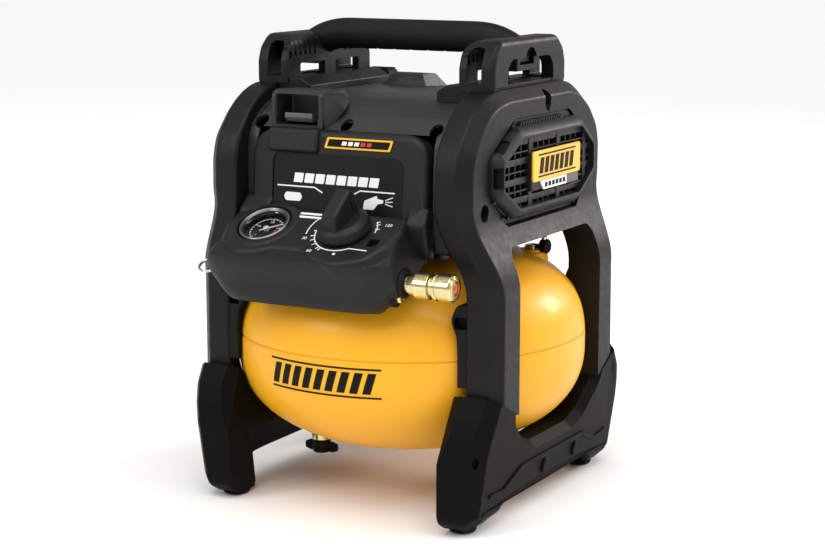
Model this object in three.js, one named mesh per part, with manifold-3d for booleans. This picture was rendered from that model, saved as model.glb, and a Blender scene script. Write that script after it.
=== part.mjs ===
// Pancake air compressor: a 10 litre tank in a moulded cage, with a piston pump on top.
// Millimetres, +Z up. Shapes are drawn about the tank's axis, front towards -Y; the whole
// group is then moved so that the origin is the bottom centre of the bounding box.
import * as THREE from 'three';
import { mergeVertices } from 'three/addons/utils/BufferGeometryUtils.js';
import Module from 'manifold-3d';

const wasm = await Module();
wasm.setup();

// ---------------------------------------------------------------- driving dimensions
const GAP = 0.35; // clearance between pieces that touch

const TANK = { r: 156, mid: 130, top: 90.4, topPower: 2.74, low: 90.1, lowPower: 2.36 };
TANK.seam = 142.5;
TANK.wall = 3;
TANK.sides = 36;

const FRAME = { inner: 96, outer: 126, lean: 21.5, bevel: 10 };

const BOOT = { inner: 103, side: 147, bottom: 4, bevel: 12 };
const SEAM = { edge: 127, high: 118, inside: 80, low: 94.5 }; // between leg and boot
const FOOT = { x: 113.7, y: 117, r: 12, height: 14 };

const SHROUD = { half: 95.6, wall: 3, top: 354.8 };
const HUMP = { half: 71, base: 362.2, top: 404, inner: 84, outer: 116.5, flange: 62, wall: 7 };
const HUMP_WINDOW = { sill: 3, innerSill: 4.5, innerTop: 378, outerTop: 387, socketLow: 375.5 };

const HANDLE = { top: 416, grip: 13.5, core: 9.5, straight: 62, bend: 42, gripEnd: 106, end: 109.6 };

const PANEL = { front: -172, left: -98, right: 76, half: 85.5, back: -112, wall: 3 };
const SLOPE = THREE.MathUtils.degToRad(29); // tilt of the control surface from level
const SLOPE_AT = new THREE.Vector3(0, -148, 250.2); // a point on the control surface

const GAUGE = { x: -59.3, r: 22.4, depth: 22, lift: -2.4 };
const KNOB = { x: 20, r: 22.8, disc: 13, top: 35, turn: -8 };
const COUPLER = { y: -148, z: 211.5, start: 79, end: 123, r: 11, bore: 6 };
const VALVE = { y: -146, z: 210, ring: 10.2, wire: 1.3, tilt: 24 };
const DRAIN = { x: -78, y: -30, seat: 49 }; // the seat is the height of the tank's skin there
const PUMP = { y: 12, z: 278, throw: 8, shaft: 6 };
const VENT = { x: 135, y: 100, low: 251, high: 338 };

// ---------------------------------------------------------------- materials
function material(color, roughness, metalness = 0) {
  return new THREE.MeshStandardMaterial({ color, roughness, metalness });
}

const paint = material(0xf6b312, 0.3);
const cagePlastic = material(0x2b2b2c, 0.55);
const panelPlastic = material(0x333334, 0.5);
const labelBlack = material(0x231f21, 0.45);
const yellowTrim = material(0xf8be1c, 0.4);
const rubber = material(0x1c1c1c, 0.85);
const greyPlastic = material(0x6f6f70, 0.5);
const brass = material(0xcfc283, 0.28, 1);
const steel = material(0xb8babd, 0.35, 1);
const darkSteel = material(0x4a4c50, 0.45, 0.9);
const aluminium = material(0xa9acb0, 0.4, 1);
const copper = material(0xb87348, 0.35, 1);
const boardGreen = material(0x2c5a3a, 0.6);
const orange = material(0xc8622e, 0.5);
const clear = material(0xdfe6e8, 0.08);

// ---------------------------------------------------------------- solids
function solidOf(geometry) {
  const bare = geometry.clone();
  bare.deleteAttribute('normal');
  bare.deleteAttribute('uv');
  const merged = mergeVertices(bare, 1e-4);
  const vertProperties = new Float32Array(merged.attributes.position.array);
  const triVerts = new Uint32Array(withArea(merged.index.array));
  return new wasm.Manifold(new wasm.Mesh({ numProp: 3, vertProperties, triVerts }));
}

// Leaves out the triangles that collapse to a line where a lathe meets its axis.
function withArea(index) {
  const kept = [];
  for (let i = 0; i < index.length; i += 3) {
    const [a, b, c] = [index[i], index[i + 1], index[i + 2]];
    if (a !== b && b !== c && c !== a) kept.push(a, b, c);
  }
  return kept;
}

function geometryOf(solid) {
  const mesh = solid.getMesh();
  const geometry = new THREE.BufferGeometry();
  const points = new THREE.BufferAttribute(new Float32Array(mesh.vertProperties), 3);
  geometry.setAttribute('position', points);
  geometry.setIndex(new THREE.BufferAttribute(new Uint32Array(mesh.triVerts), 1));
  return geometry;
}

function join(...solids) {
  return solids.reduce((whole, next) => whole.add(next));
}

function cut(solid, ...tools) {
  return tools.reduce((rest, tool) => rest.subtract(tool), solid);
}

// A closed outline of [a, b] points.
function outline(points) {
  return new THREE.Shape(points.map(([a, b]) => new THREE.Vector2(a, b)));
}

function roundedRectangle(x0, x1, y0, y1, r) {
  const shape = new THREE.Shape();
  shape.moveTo(x0 + r, y0);
  shape.lineTo(x1 - r, y0);
  shape.absarc(x1 - r, y0 + r, r, -Math.PI / 2, 0, false);
  shape.absarc(x1 - r, y1 - r, r, 0, Math.PI / 2, false);
  shape.absarc(x0 + r, y1 - r, r, Math.PI / 2, Math.PI, false);
  shape.absarc(x0 + r, y0 + r, r, Math.PI, Math.PI * 1.5, false);
  return shape;
}

const AXES = {
  x: [new THREE.Vector3(0, 1, 0), new THREE.Vector3(0, 0, 1), new THREE.Vector3(1, 0, 0)],
  y: [new THREE.Vector3(0, 0, 1), new THREE.Vector3(1, 0, 0), new THREE.Vector3(0, 1, 0)],
  z: [new THREE.Vector3(1, 0, 0), new THREE.Vector3(0, 1, 0), new THREE.Vector3(0, 0, 1)],
};

// Turns geometry drawn along local +Z to run along a world axis.
function turned(geometry, axis) {
  return geometry.applyMatrix4(new THREE.Matrix4().makeBasis(...AXES[axis]));
}

// A straight extrusion of a shape. Along x the shape is drawn in (y, z), along y in (z, x).
function prism(axis, shape, from, to, { bevel = 0, curveSegments = 4 } = {}) {
  const geometry = new THREE.ExtrudeGeometry(shape, {
    depth: to - from - 2 * bevel,
    bevelEnabled: bevel > 0,
    bevelThickness: bevel,
    bevelSize: bevel,
    bevelSegments: 1,
    curveSegments,
  });
  geometry.translate(0, 0, from + bevel);
  return solidOf(turned(geometry, axis));
}

function block(x0, x1, y0, y1, z0, z1) {
  const geometry = new THREE.BoxGeometry(x1 - x0, y1 - y0, z1 - z0);
  geometry.translate((x0 + x1) / 2, (y0 + y1) / 2, (z0 + z1) / 2);
  return solidOf(geometry);
}

function rod(axis, r, from, to, [x, y, z] = [0, 0, 0], segments = 20) {
  const geometry = new THREE.CylinderGeometry(r, r, to - from, segments);
  geometry.rotateX(Math.PI / 2);
  geometry.translate(0, 0, (from + to) / 2);
  turned(geometry, axis).translate(x, y, z);
  return solidOf(geometry);
}

// Turns a profile of [radius, height] points, from the axis back to the axis or closed.
function turnedPart(profile, segments = 24, axis = 'z', [x, y, z] = [0, 0, 0]) {
  const points = profile.map(([r, h]) => new THREE.Vector2(r, h));
  const geometry = new THREE.LatheGeometry(points, segments);
  geometry.rotateX(Math.PI / 2);
  turned(geometry, axis).translate(x, y, z);
  return outwards(solidOf(geometry), geometry);
}

// A lathe drawn clockwise comes out inside out, so its triangles are turned round.
function outwards(solid, geometry) {
  return solid.volume() > 0 ? solid : solidOf(flipped(geometry));
}

function flipped(geometry) {
  const copy = geometry.clone();
  const index = copy.index.array;
  for (let i = 0; i < index.length; i += 3) {
    [index[i], index[i + 2]] = [index[i + 2], index[i]];
  }
  return copy;
}

function mirrored(solid) {
  return solidOf(flipped(geometryOf(solid).scale(-1, 1, 1)));
}

function placed(solid, position, tilt = 0, turn = 0) {
  const matrix = new THREE.Matrix4().makeRotationX(tilt);
  matrix.multiply(new THREE.Matrix4().makeRotationZ(turn));
  matrix.setPosition(position);
  return solidOf(geometryOf(solid).applyMatrix4(matrix));
}

// A round tube or bar along a curve.
function swept(points, radius, steps, sides = 10) {
  const curve = new THREE.CatmullRomCurve3(points.map((p) => new THREE.Vector3(...p)));
  const section = new THREE.Shape().absarc(0, 0, radius, 0, Math.PI * 2, false);
  const geometry = new THREE.ExtrudeGeometry(section, {
    steps,
    extrudePath: curve,
    curveSegments: sides / 2,
  });
  const solid = solidOf(geometry);
  return solid.volume() > 0 ? solid : solidOf(flipped(geometry));
}

// ---------------------------------------------------------------- tank
// Outer radius of the tank at a height, from two half superellipses.
function tankRadius(z, grow = 0) {
  const upper = z >= TANK.mid;
  const half = (upper ? TANK.top : TANK.low) + grow;
  const power = upper ? TANK.topPower : TANK.lowPower;
  const t = Math.min(1, Math.abs(z - TANK.mid) / half);
  return (TANK.r + grow) * (1 - t ** power) ** (1 / power);
}

// Points of the tank's profile between two heights, closer together near the poles.
function tankProfile(from, to, grow, count) {
  const height = (s) => {
    const half = (s >= 0 ? TANK.top : TANK.low) + grow;
    return TANK.mid + half * Math.sin((s * Math.PI) / 2);
  };
  const param = (z) => {
    const half = (z >= TANK.mid ? TANK.top : TANK.low) + grow;
    const ratio = Math.max(-1, Math.min(1, (z - TANK.mid) / half));
    return (Math.asin(ratio) * 2) / Math.PI;
  };
  const [a, b] = [param(from), param(to)];
  const points = [];
  for (let i = 0; i <= count; i += 1) {
    const z = height(a + ((b - a) * i) / count);
    points.push([tankRadius(z, grow), z]);
  }
  return points;
}

const TANK_TOP = TANK.mid + TANK.top;
const TANK_LOW = TANK.mid - TANK.low;

function tankUpper() {
  const wall = TANK.wall;
  const outer = tankProfile(TANK.seam + GAP, TANK_TOP, 0, 8);
  const inner = tankProfile(TANK_TOP - wall, TANK.seam + GAP, -wall, 5);
  outer[outer.length - 1][0] = 0;
  inner[0][0] = 0;
  const ports = [
    rod('z', 6, 150, 240, [PORT.check.x, PORT.check.y, 0], 16),
    rod('z', 6, 150, 240, [PORT.side.x, PORT.side.y, 0], 16),
  ];
  return cut(turnedPart([...outer, ...inner, outer[0]], TANK.sides), ...ports);
}

function tankLower() {
  const wall = TANK.wall;
  const outer = tankProfile(TANK_LOW, TANK.seam, 0, 9);
  const inner = tankProfile(TANK.seam, TANK_LOW + wall, -wall, 6);
  outer[0][0] = 0;
  inner[inner.length - 1][0] = 0;
  const drain = rod('z', 5, 20, 80, [DRAIN.x, DRAIN.y, 0], 16);
  return cut(turnedPart([...outer, ...inner, outer[0]], TANK.sides), drain);
}

const PORT = {
  check: { x: -40, y: 62 },
  side: { x: 88, y: 66 },
};

// Height of the tank's upper skin at a port.
function tankSeat({ x, y }) {
  const reach = Math.hypot(x, y) / TANK.r;
  return TANK.mid + TANK.top * (1 - reach ** TANK.topPower) ** (1 / TANK.topPower);
}

// The tank with a little clearance, used to trim whatever hugs it.
const CLEAR = 1.2;
const tankRoom = turnedPart(
  tankProfile(TANK_LOW - CLEAR, TANK_TOP + CLEAR, CLEAR, 16).map(([r, z], i, all) => [
    i === 0 || i === all.length - 1 ? 0 : r,
    z,
  ]),
  TANK.sides,
);

// ---------------------------------------------------------------- cage
// How far each side of the cage leans out, as [height, lean], straight between the heights.
const LEAN = [
  [420, 0], [268, 0], [250, 3.7], [218, 17.9], [200, FRAME.lean], [0, FRAME.lean],
];

function leaning(solid) {
  const slices = [];
  for (let i = 0; i + 1 < LEAN.length; i += 1) {
    const [high, leanHigh] = LEAN[i];
    const [low, leanLow] = LEAN[i + 1];
    const slope = (leanLow - leanHigh) / (low - high);
    const shear = new THREE.Matrix4().set(
      1, 0, slope, leanHigh - slope * high,
      0, 1, 0, 0,
      0, 0, 1, 0,
      0, 0, 0, 1,
    );
    const slice = solid.intersect(block(-300, 300, -300, 300, low, high));
    if (slice.volume() > 1) slices.push(solidOf(geometryOf(slice).applyMatrix4(shear)));
  }
  return join(...slices);
}

// The front half of the arch and leg, from the boot up, as [y, z] of the side face.
const LEG_EDGE = [
  [-109.5, 60], [-109.5, 202], [-112, 218], [-119.5, 240], [-124, 260],
  [-125.5, 275], [-125.5, 296], [-120.5, 314], [-112, 328], [-100.5, 339.5], [-86.5, 347.5],
  [-75.5, 351.2], [-58, 353.4],
];

// The outline below the seam between leg and boot, as [y, z], raised by some height.
function belowSeam(raise = 0) {
  const { edge, high, inside, low } = SEAM;
  return outline([
    ...mirroredEdge([[-220, -20], [-220, high + raise], [-edge, high + raise], [-inside, low + raise]]),
  ]);
}

function mirroredEdge(points) {
  return [...points, ...[...points].reverse().map(([y, z]) => [-y, z])];
}

function octagon(half, low, high, corner, topCorner) {
  return outline([
    [-half, low + corner], [-half + corner, low], [half - corner, low], [half, low + corner],
    [half, high - topCorner], [half - topCorner * 1.3, high], [-half + topCorner * 1.3, high],
    [-half, high - topCorner],
  ]);
}

function sideFrame() {
  const arch = prism('x', outline(mirroredEdge(LEG_EDGE)), FRAME.inner - 20, FRAME.outer, {
    bevel: FRAME.bevel,
  });
  const within = block(0, FRAME.inner, -200, 200, 0, 420);
  const below = prism('x', belowSeam(GAP), 0, 200);
  const window = prism('x', outline([
    [-81.5, 100], [81.5, 100], [81.5, 226], [76, 235.5], [-76, 235.5], [-81.5, 226],
  ]), 60, 220);
  const vent = prism('x', octagon(VENT.y, VENT.low, VENT.high, 20, 34), 60, 220);
  const { half, base } = HUMP;
  const hump = block(0, HUMP.outer + GAP, -half - GAP, half + GAP, base - GAP, 400);
  return cut(leaning(cut(arch, within, below, window, vent, hump)), tankRoom);
}

// The front half of a rail's two boots, as [y, z] of the outer side face.
const BOOT_EDGE = [
  [-109.5, SEAM.high + 3], [-116, 113], [-121, 104], [-126, 88], [-129, 60], [-129, 25],
  [-127, BOOT.bottom], [-104, BOOT.bottom],
];

function baseRail() {
  const { inner, side, bottom, bevel } = BOOT;
  const whole = prism('x', outline(mirroredEdge(BOOT_EDGE)), inner - 20, side, { bevel });
  const within = block(0, inner, -220, 220, -20, 140);
  const above = cut(block(0, 220, -219, 219, 60, 160), prism('x', belowSeam(), -10, 230));
  const below = block(0, 220, -220, 220, -40, bottom);
  const window = prism('x', outline([
    [-81, 130], [-81, 100], [-74, 86], [-56, 68], [-36, 61], [36, 61], [56, 68], [74, 86],
    [81, 100], [81, 130],
  ]), 60, 220);
  const arch = prism('x', outline([
    [-104, -10], [-100, 10], [-90, 18], [-70, 25], [-30, 26], [30, 26], [70, 25], [90, 18],
    [100, 10], [104, -10],
  ]), 60, 220);
  // The rail's inner side is carved away, so that it is a wall between two boots.
  const hollow = prism('z', outline([
    [inner - 5, -92], [128, -80], [128, 80], [inner - 5, 92],
  ]), -10, 160);
  const shaped = cut(whole, within, above, below, window, arch, hollow);
  return cut(shaped, tankRoom, footRoom(1), footRoom(-1));
}

function footRoom(side) {
  return rod('z', FOOT.r - 4 + GAP, -5, FOOT.height - 2 + GAP, [FOOT.x, side * FOOT.y, 0], 16);
}

function foot() {
  const { r, height } = FOOT;
  return turnedPart([
    [0, 0], [r - 1.5, 0], [r, 1.5], [r, BOOT.bottom - GAP], [r - 4, BOOT.bottom - GAP],
    [r - 4, height - 2], [0, height - 2],
  ], 20);
}

// Half-round tab that ties the tank's shoulder to a leg.
function tankMount() {
  const shape = new THREE.Shape();
  const edge = FRAME.inner + FRAME.lean - GAP;
  shape.absarc(177, edge, 14, Math.PI, Math.PI * 2, false);
  const tab = prism('y', shape, -119, -104, { curveSegments: 8 });
  return cut(tab, tankRoom);
}

// ---------------------------------------------------------------- handle
// The front half of the shroud's arch, as [y, z].
const ARCH = [
  [-112, 328.4], [-98, 340], [-82, 348], [-64, 353], [-40, SHROUD.top],
];

function bracketEdge() {
  const { half, base, top } = HUMP;
  return mirroredEdge([
    [-half, base], [-half, top - 20], [-half + 4, top - 9], [-half + 12, top - 2],
    [-half + 20, top],
  ]);
}

// A tunnel on the frame's crown: an outer and an inner wall under a roof, with a window
// through them, and a shelf that reaches in over the shroud.
function handleBracket() {
  const { half, inner, outer, wall, base, top, flange } = HUMP;
  const { sill, innerSill, innerTop, outerTop, socketLow } = HUMP_WINDOW;
  const sides = prism('x', outline(bracketEdge()), 0, outer + 5);
  const section = prism('y', outline([
    [base, inner], [top - 16, inner], [top - 5, inner + 5], [top, inner + 16],
    [top, outer - 7], [top - 7, outer], [base, outer],
  ]), -half, half);
  const room = prism('y', outline([
    [base + 6, inner + wall], [top - 14, inner + wall], [top - 7, inner + wall + 7],
    [top - 7, outer - 12], [base + 6, outer - 12],
  ]), -half - 1, half + 1);
  const window = prism('x', outline([[-45, base + sill], [45, base + sill], [38, outerTop], [-38, outerTop]]),
    inner + wall, outer + 5);
  const sights = [-1, 1].map((side) => {
    const [y0, y1] = [side * 9, side * 50].sort((a, b) => a - b);
    return block(flange, inner + wall + 1, y0, y1, base + innerSill, innerTop);
  });
  // The handle ends in this block, which hangs from the roof.
  const socket = block(inner + 2, outer - 5, -18, 18, socketLow, top - 4);
  // The shelf is thicker beside the frame, where it sits down on the shroud's arch.
  const shelf = prism('y', outline([
    [340, flange], [340, SHROUD.half - GAP], [base, SHROUD.half - GAP], [base, outer - 1],
    [base + 4.5, outer - 1], [base + 4.5, flange + 10], [base - 2, flange],
  ]), -half + 2, half - 2);
  const raisedArch = mirroredEdge(ARCH.map(([y, z]) => [y, z + GAP]));
  const shroudRoom = prism('x', outline([...raisedArch, [112, 300], [-112, 300]]), 0, 130);
  return cut(
    join(cut(sides.intersect(section), room, window, ...sights), socket, cut(shelf, shroudRoom)),
    handleBar(HANDLE.grip + GAP, HANDLE.gripEnd + GAP),
    handleBar(HANDLE.core + GAP, HANDLE.end + GAP),
  );
}

// The handle's bar, cut off square at both ends. Its centre line is level over the middle
// and falls ever more steeply towards both ends.
function handleBar(radius, end) {
  const { top, grip, straight, bend } = HANDLE;
  const level = top - grip;
  const reach = HANDLE.end + 8;
  const route = [];
  for (let i = -6; i <= 6; i += 1) {
    const x = (reach * i) / 6;
    const t = Math.max(0, (Math.abs(x) - straight) / bend);
    route.push([x, 0, level - 10 * t ** 2 - 4 * t ** 4]);
  }
  const bar = swept(route, radius, 12, 10);
  return bar.intersect(block(-end, end, -50, 50, 300, 450));
}

function handleGrip() {
  const { grip, core, gripEnd, end } = HANDLE;
  return cut(handleBar(grip, gripEnd), handleBar(core + GAP, end));
}

// ---------------------------------------------------------------- housing
function archShell(wall) {
  const outer = mirroredEdge(ARCH);
  const inner = mirroredEdge(ARCH.map(([y, z], i) => [y + wall * 0.7, i ? z - wall : z]));
  return outline([...outer, ...inner.reverse()]);
}

const POCKET = { x0: -72.5, x1: -26.5, front: -114.5, low: 328.6, high: 359.5 };

function topShroud() {
  const { half, wall } = SHROUD;
  const shell = prism('x', archShell(wall), -half, half);
  const { x0, x1, front, low, high } = POCKET;
  const housing = prism('x', outline([
    [front, low], [front, high - 3], [front + 4, high], [-80, high - 1], [-71, 354], [-71, 347],
    [-80, 340], [-100, low],
  ]), x0, x1);
  const opening = block(x0 + 5, x1 - 6, front - 5, front + 26, low + 3, high - 4);
  const rear = prism('x', outline([[31, 351], [37, 366.6], [60, 364.4], [86, 338]]), -60, 0);
  const bump = rear.intersect(prism('y', outline([
    [330, -51], [354, -49.5], [366.6, -38], [366.6, -10], [354, -3], [330, -2],
  ]), 20, 90));
  const strip = outline([
    [-112, 330], [-117, 320], [-119, 300], [-119, 262], [-113, 232], [-109, 232], [-114, 262],
    [-114, 300], [-112, 318], [-108, 330],
  ]);
  const sides = [-1, 1].map((side) => {
    const edges = [side * (PANEL.half + GAP), side * half].sort((a, b) => a - b);
    return prism('x', strip, ...edges);
  });
  const { x0: left, x1: right, y0: near, y1: far } = BUTTON;
  const button = block(left - GAP, right + GAP, near - GAP, far + GAP, 330, 380);
  // The control panel is wider than the shroud's opening at its lower left.
  const panelCorner = block(PANEL.left, -PANEL.half, -125, -100, 200, 264);
  return cut(join(shell, housing, bump, ...sides), opening, button, panelCorner);
}

const BUTTON = { x0: -93, x1: -66, y0: 74, y1: 92, low: 336, high: 365 };

function releaseButton() {
  const { x0, x1, y0, y1, low, high } = BUTTON;
  const teeth = [];
  for (let i = 0; i < 4; i += 1) {
    const y = y0 + 2 + i * 4;
    teeth.push(block(x0 + 1, x1 - 1, y, y + 2, high - 1, high + 1.6));
  }
  return join(block(x0, x1, y0, y1, low, high), ...teeth);
}

function powerRocker() {
  const { x1, front, low } = POCKET;
  const shape = outline([
    [front + 5, low + 4.8], [front + 13, low + 4.8], [front + 17, low + 8.5],
    [front + 10, low + 10.5], [front + 2.5, low + 12.8], [front + 2, low + 8.5],
  ]);
  return prism('x', shape, x1 - 34.5, x1 - 7);
}

// Rear cover, with the battery dock's two rails on its outer face.
function rearShroud() {
  const { half } = SHROUD;
  const wall = outline([
    [112, 327.6], [118, 316], [121, 300], [121, 262], [116, 240], [108, 226],
    [105, 226], [113, 241], [117, 262], [117, 300], [114, 316], [108.8, 327.6],
  ]);
  const shell = prism('x', wall, -half, half);
  const rails = [-1, 1].map((side) => join(
    block(side * 38 - 4, side * 38 + 4, 118, 131, 248, 312),
    block(side * 36 - 8, side * 36 + 8, 128, 133, 248, 312),
  ));
  const slots = [0, 1, 2].map((i) => block(-14, 14, 100, 125, 254 + i * 9, 258 + i * 9));
  return cut(join(shell, ...rails), ...slots, block(-17, 17, 100, 125, 284, 302));
}

function terminalBlock() {
  const base = block(-16, 16, 112, 122, 285, 301);
  const blades = [-10, -3.3, 3.3, 10].map((x) => block(x - 0.8, x + 0.8, 121, 131, 288, 298));
  return join(base, ...blades);
}

// ---------------------------------------------------------------- control panel
// Height of the sloped control surface at a given y.
function slopeHeight(y) {
  return SLOPE_AT.z + (y - SLOPE_AT.y) * Math.tan(SLOPE);
}

// The panel's side view as [y, z], and the same drawn in by a wall.
function panelEdge(inset) {
  const i = inset;
  return outline([
    [PANEL.back, 328 - i], [-118 + i, 322 - i], [-122 + i, 311], [-127 + i, 266],
    [-130 + i, slopeHeight(-130) - i * 0.7], [-163 + i, slopeHeight(-163) - i * 0.7],
    [-163.5 + i, 233 - i], [PANEL.front + 5 + i, 229 - i], [PANEL.front + i, 222 - i],
    [PANEL.front + i, 190 + i], [PANEL.front + 6 + i, 184 + i], [PANEL.back, 184 + i],
  ]);
}

// The panel's front view, drawn in (z, x).
function panelFace(inset) {
  const i = inset;
  const shape = new THREE.Shape();
  const { half, left, right } = PANEL;
  shape.moveTo(184 + i, left + 18);
  shape.absarc(202 + i, left + 18 + i, 18, Math.PI, Math.PI * 1.5, false);
  shape.lineTo(250, left + i);
  shape.lineTo(262, -half + i);
  shape.lineTo(306 - i, -half + i);
  shape.absarc(306 - i, -half + 22 + i, 22, Math.PI * 1.5, Math.PI * 2, false);
  shape.absarc(306 - i, half - 22 - i, 22, 0, Math.PI / 2, false);
  shape.lineTo(262, half - i);
  shape.lineTo(254, right - i);
  shape.lineTo(204, right - i);
  shape.lineTo(184 + i, right - 20 - i);
  return shape;
}

// The panel's plan, with round front corners.
function panelPlan(inset) {
  const i = inset;
  const { left, right, front } = PANEL;
  return outline([
    [left + i, PANEL.back + 1], [left + i, front + 22], [left + 3 + i, front + 11],
    [left + 11 + i, front + 3 + i], [left + 22, front + i], [right - 26, front + i],
    [right - 10 - i, front + 6 + i], [right - 2 - i, front + 14 + i], [right - i, front + 26],
    [right - i, -130], [PANEL.half - i, -126], [PANEL.half - i, PANEL.back + 1],
  ]);
}

function panelBody(inset) {
  const side = prism('x', panelEdge(inset), -110, 110);
  const face = prism('y', panelFace(inset), -200, -100, { curveSegments: 5 });
  const plan = prism('z', panelPlan(inset), 150, 350);
  return side.intersect(face).intersect(plan);
}

function onSlope(x, out = 0) {
  const normal = new THREE.Vector3(0, -Math.sin(SLOPE), Math.cos(SLOPE));
  return new THREE.Vector3(x, SLOPE_AT.y, SLOPE_AT.z).addScaledVector(normal, out);
}

function controlPanel() {
  const ledge = turnedPart([[0, -14], [32, -14], [32, -0.4], [29, 1.2], [0, 1.2]], 24);
  const mound = placed(ledge, onSlope(GAUGE.x), SLOPE);
  const keep = prism('z', panelPlan(0), 150, 350);
  const outer = join(panelBody(0), mound.intersect(keep));
  const bulge = prism('x', outline([
    [-112, 328], [-116, 327], [-125.5, 313], [-112, 308],
  ]), POCKET.x0, POCKET.x1);
  const well = placed(rod('z', GAUGE.r + GAP, -30, 20), onSlope(GAUGE.x), SLOPE);
  const stem = placed(rod('z', 6, -30, 20), onSlope(KNOB.x), SLOPE);
  const port = rod('x', 8, 40, 90, [0, COUPLER.y, COUPLER.z], 20);
  const leftPort = rod('x', 6, -110, -80, [0, VALVE.y, VALVE.z], 16);
  const skirt = block(60, PANEL.half, -118, -114, 226, 264);
  // The chin's underside rises towards the tank.
  const under = prism('x', outline([
    [-100, 150], [-157, 150], [-152, 190], [-122, 222], [-100, 226],
  ]), -200, 200);
  return cut(
    join(outer, bulge, skirt),
    panelBody(PANEL.wall), well, stem, port, leftPort, under, tankRoom,
  );
}

function controlLabel() {
  const y = (z) => -122 - ((311 - z) * 5) / 45;
  const sheet = outline([
    [y(308) - GAP, 308], [y(268) - GAP, 268], [y(268) - GAP - 0.8, 268], [y(308) - GAP - 0.8, 308],
  ]);
  const face = roundedRectangle(267, 309, -66, 62, 8);
  return prism('x', sheet, -70, 70).intersect(prism('y', face, -140, -110));
}

function accentStrip() {
  const lean = 4;
  const shape = outline([[314.5, -17], [314.5, 45], [323, 45 + lean], [323, -17 + lean]]);
  return prism('y', shape, -122.9, -122.1);
}

// ---------------------------------------------------------------- gauge and regulator
function gaugePiece(solid) {
  return placed(solid, onSlope(GAUGE.x, GAUGE.lift), SLOPE);
}

function gaugeCase() {
  const { r, depth } = GAUGE;
  return gaugePiece(turnedPart([
    [0, -depth - 8], [5, -depth - 8], [5, -depth], [r - 1, -depth], [r - 1, -1], [r - 3, -1],
    [r - 3, -6], [0, -6],
  ]));
}

function gaugeBezel() {
  const { r } = GAUGE;
  return gaugePiece(turnedPart([
    [r - 3.4, -0.6], [r, -0.6], [r, 2.6], [r - 1, 3.6], [r - 2.6, 3.6], [r - 3.4, 2],
    [r - 3.4, -0.6],
  ]));
}

function gaugeDial() {
  return gaugePiece(turnedPart([[0, -5.6], [18.9, -5.6], [18.9, -4.8], [0, -4.8]]));
}

function gaugeLens() {
  return gaugePiece(turnedPart([[0, -0.4], [18.6, -0.4], [18.6, 0.8], [0, 1.4]]));
}

function gaugeNeedle() {
  const hub = rod('z', 2.4, -4.4, -1.4, [0, 0, 0], 14);
  const hand = prism('z', outline([
    [-0.9, 0], [-0.5, -6], [0.5, -6], [0.9, 0], [0.3, 15], [-0.3, 15],
  ]), -3.6, -2.6);
  const turn = THREE.MathUtils.degToRad(-58);
  return gaugePiece(placed(join(hub, hand), new THREE.Vector3(0, 0, 0), 0, turn));
}

function regulatorKnob() {
  const { r, disc, top } = KNOB;
  const base = turnedPart([
    [0, 2.2], [r, 2.2], [r, 4.4], [r - 1.5, disc - 2], [r - 4, disc], [0, disc],
  ], 28);
  const grip = prism('x', outline([
    [-17, disc - 1], [-16.4, top - 12.5], [-13.5, top - 9], [11.5, top], [14.5, top - 3],
    [16.5, disc - 1],
  ]), -6.8, 6.8);
  const stem = rod('z', 5, -14, 3, [0, 0, 0], 16);
  const turn = THREE.MathUtils.degToRad(KNOB.turn);
  return placed(join(base, grip, stem), onSlope(KNOB.x), SLOPE, turn);
}

function regulatorBody() {
  const body = turnedPart([
    [5.4, -30], [14, -30], [15.5, -26], [15.5, -9], [12, -4.2], [5.4, -4.2], [5.4, -30],
  ], 24);
  return placed(body, onSlope(KNOB.x), SLOPE);
}

// ---------------------------------------------------------------- fittings
function couplerBody() {
  const { start, end, r, bore, y, z } = COUPLER;
  const profile = [
    [bore, start - 15], [7.6, start - 15], [7.6, start + 3.4], [r, start + 3.4], [r, start + 22],
    [r - 2.4, start + 22.6], [r - 2.4, end], [bore, end], [bore, start - 15],
  ];
  return turnedPart(profile, 20, 'x', [0, y, z]);
}

function couplerSleeve() {
  const { start, end, r, y, z } = COUPLER;
  const inner = r - 2.4 + GAP;
  const from = start + 26.4;
  const profile = [
    [inner, from], [r + 0.4, from], [r + 0.4, from + 2], [r - 0.6, from + 2.8],
    [r - 0.6, from + 4.2], [r + 0.4, from + 5], [r + 0.4, end - 2.2], [r - 0.8, end - 0.4],
    [inner, end - 0.4], [inner, from],
  ];
  return turnedPart(profile, 20, 'x', [0, y, z]);
}

function couplerValve() {
  const { end, bore, y, z } = COUPLER;
  return turnedPart([
    [0, end - 20], [bore - GAP, end - 20], [bore - GAP, end - 3], [bore - 1.4, end - 1.6],
    [0, end - 1.6],
  ], 18, 'x', [0, y, z]);
}

function couplerCollar() {
  const { start, r, y, z } = COUPLER;
  const ring = turnedPart([
    [8, start - 2.4], [r + 2.6, start - 2.4], [r + 2.2, start + 1.5], [r + 0.6, start + 3],
    [8, start + 3], [8, start - 2.4],
  ], 24, 'x', [0, y, z]);
  return cut(ring, tankRoom);
}

function safetyValveBody() {
  const { y, z } = VALVE;
  const wall = PANEL.left;
  return turnedPart([
    [2.2, wall - 3.5], [4.6, wall - 3.5], [5.4, wall - 2], [5.4, wall + 16], [2.2, wall + 16],
    [2.2, wall - 3.5],
  ], 16, 'x', [0, y, z]);
}

const EYE = { x: PANEL.left - 8.6, hole: 2.1 }; // where the ring passes through the stem

function safetyValveStem() {
  const { y, z } = VALVE;
  const stem = rod('x', 1.85, EYE.x + 2, PANEL.left + 12, [0, y, z], 12);
  const eye = rod('y', 3.7, y - 1.2, y + 1.2, [EYE.x, 0, z], 16);
  return cut(join(stem, eye), rod('y', EYE.hole, y - 5, y + 5, [EYE.x, 0, z], 12));
}

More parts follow.
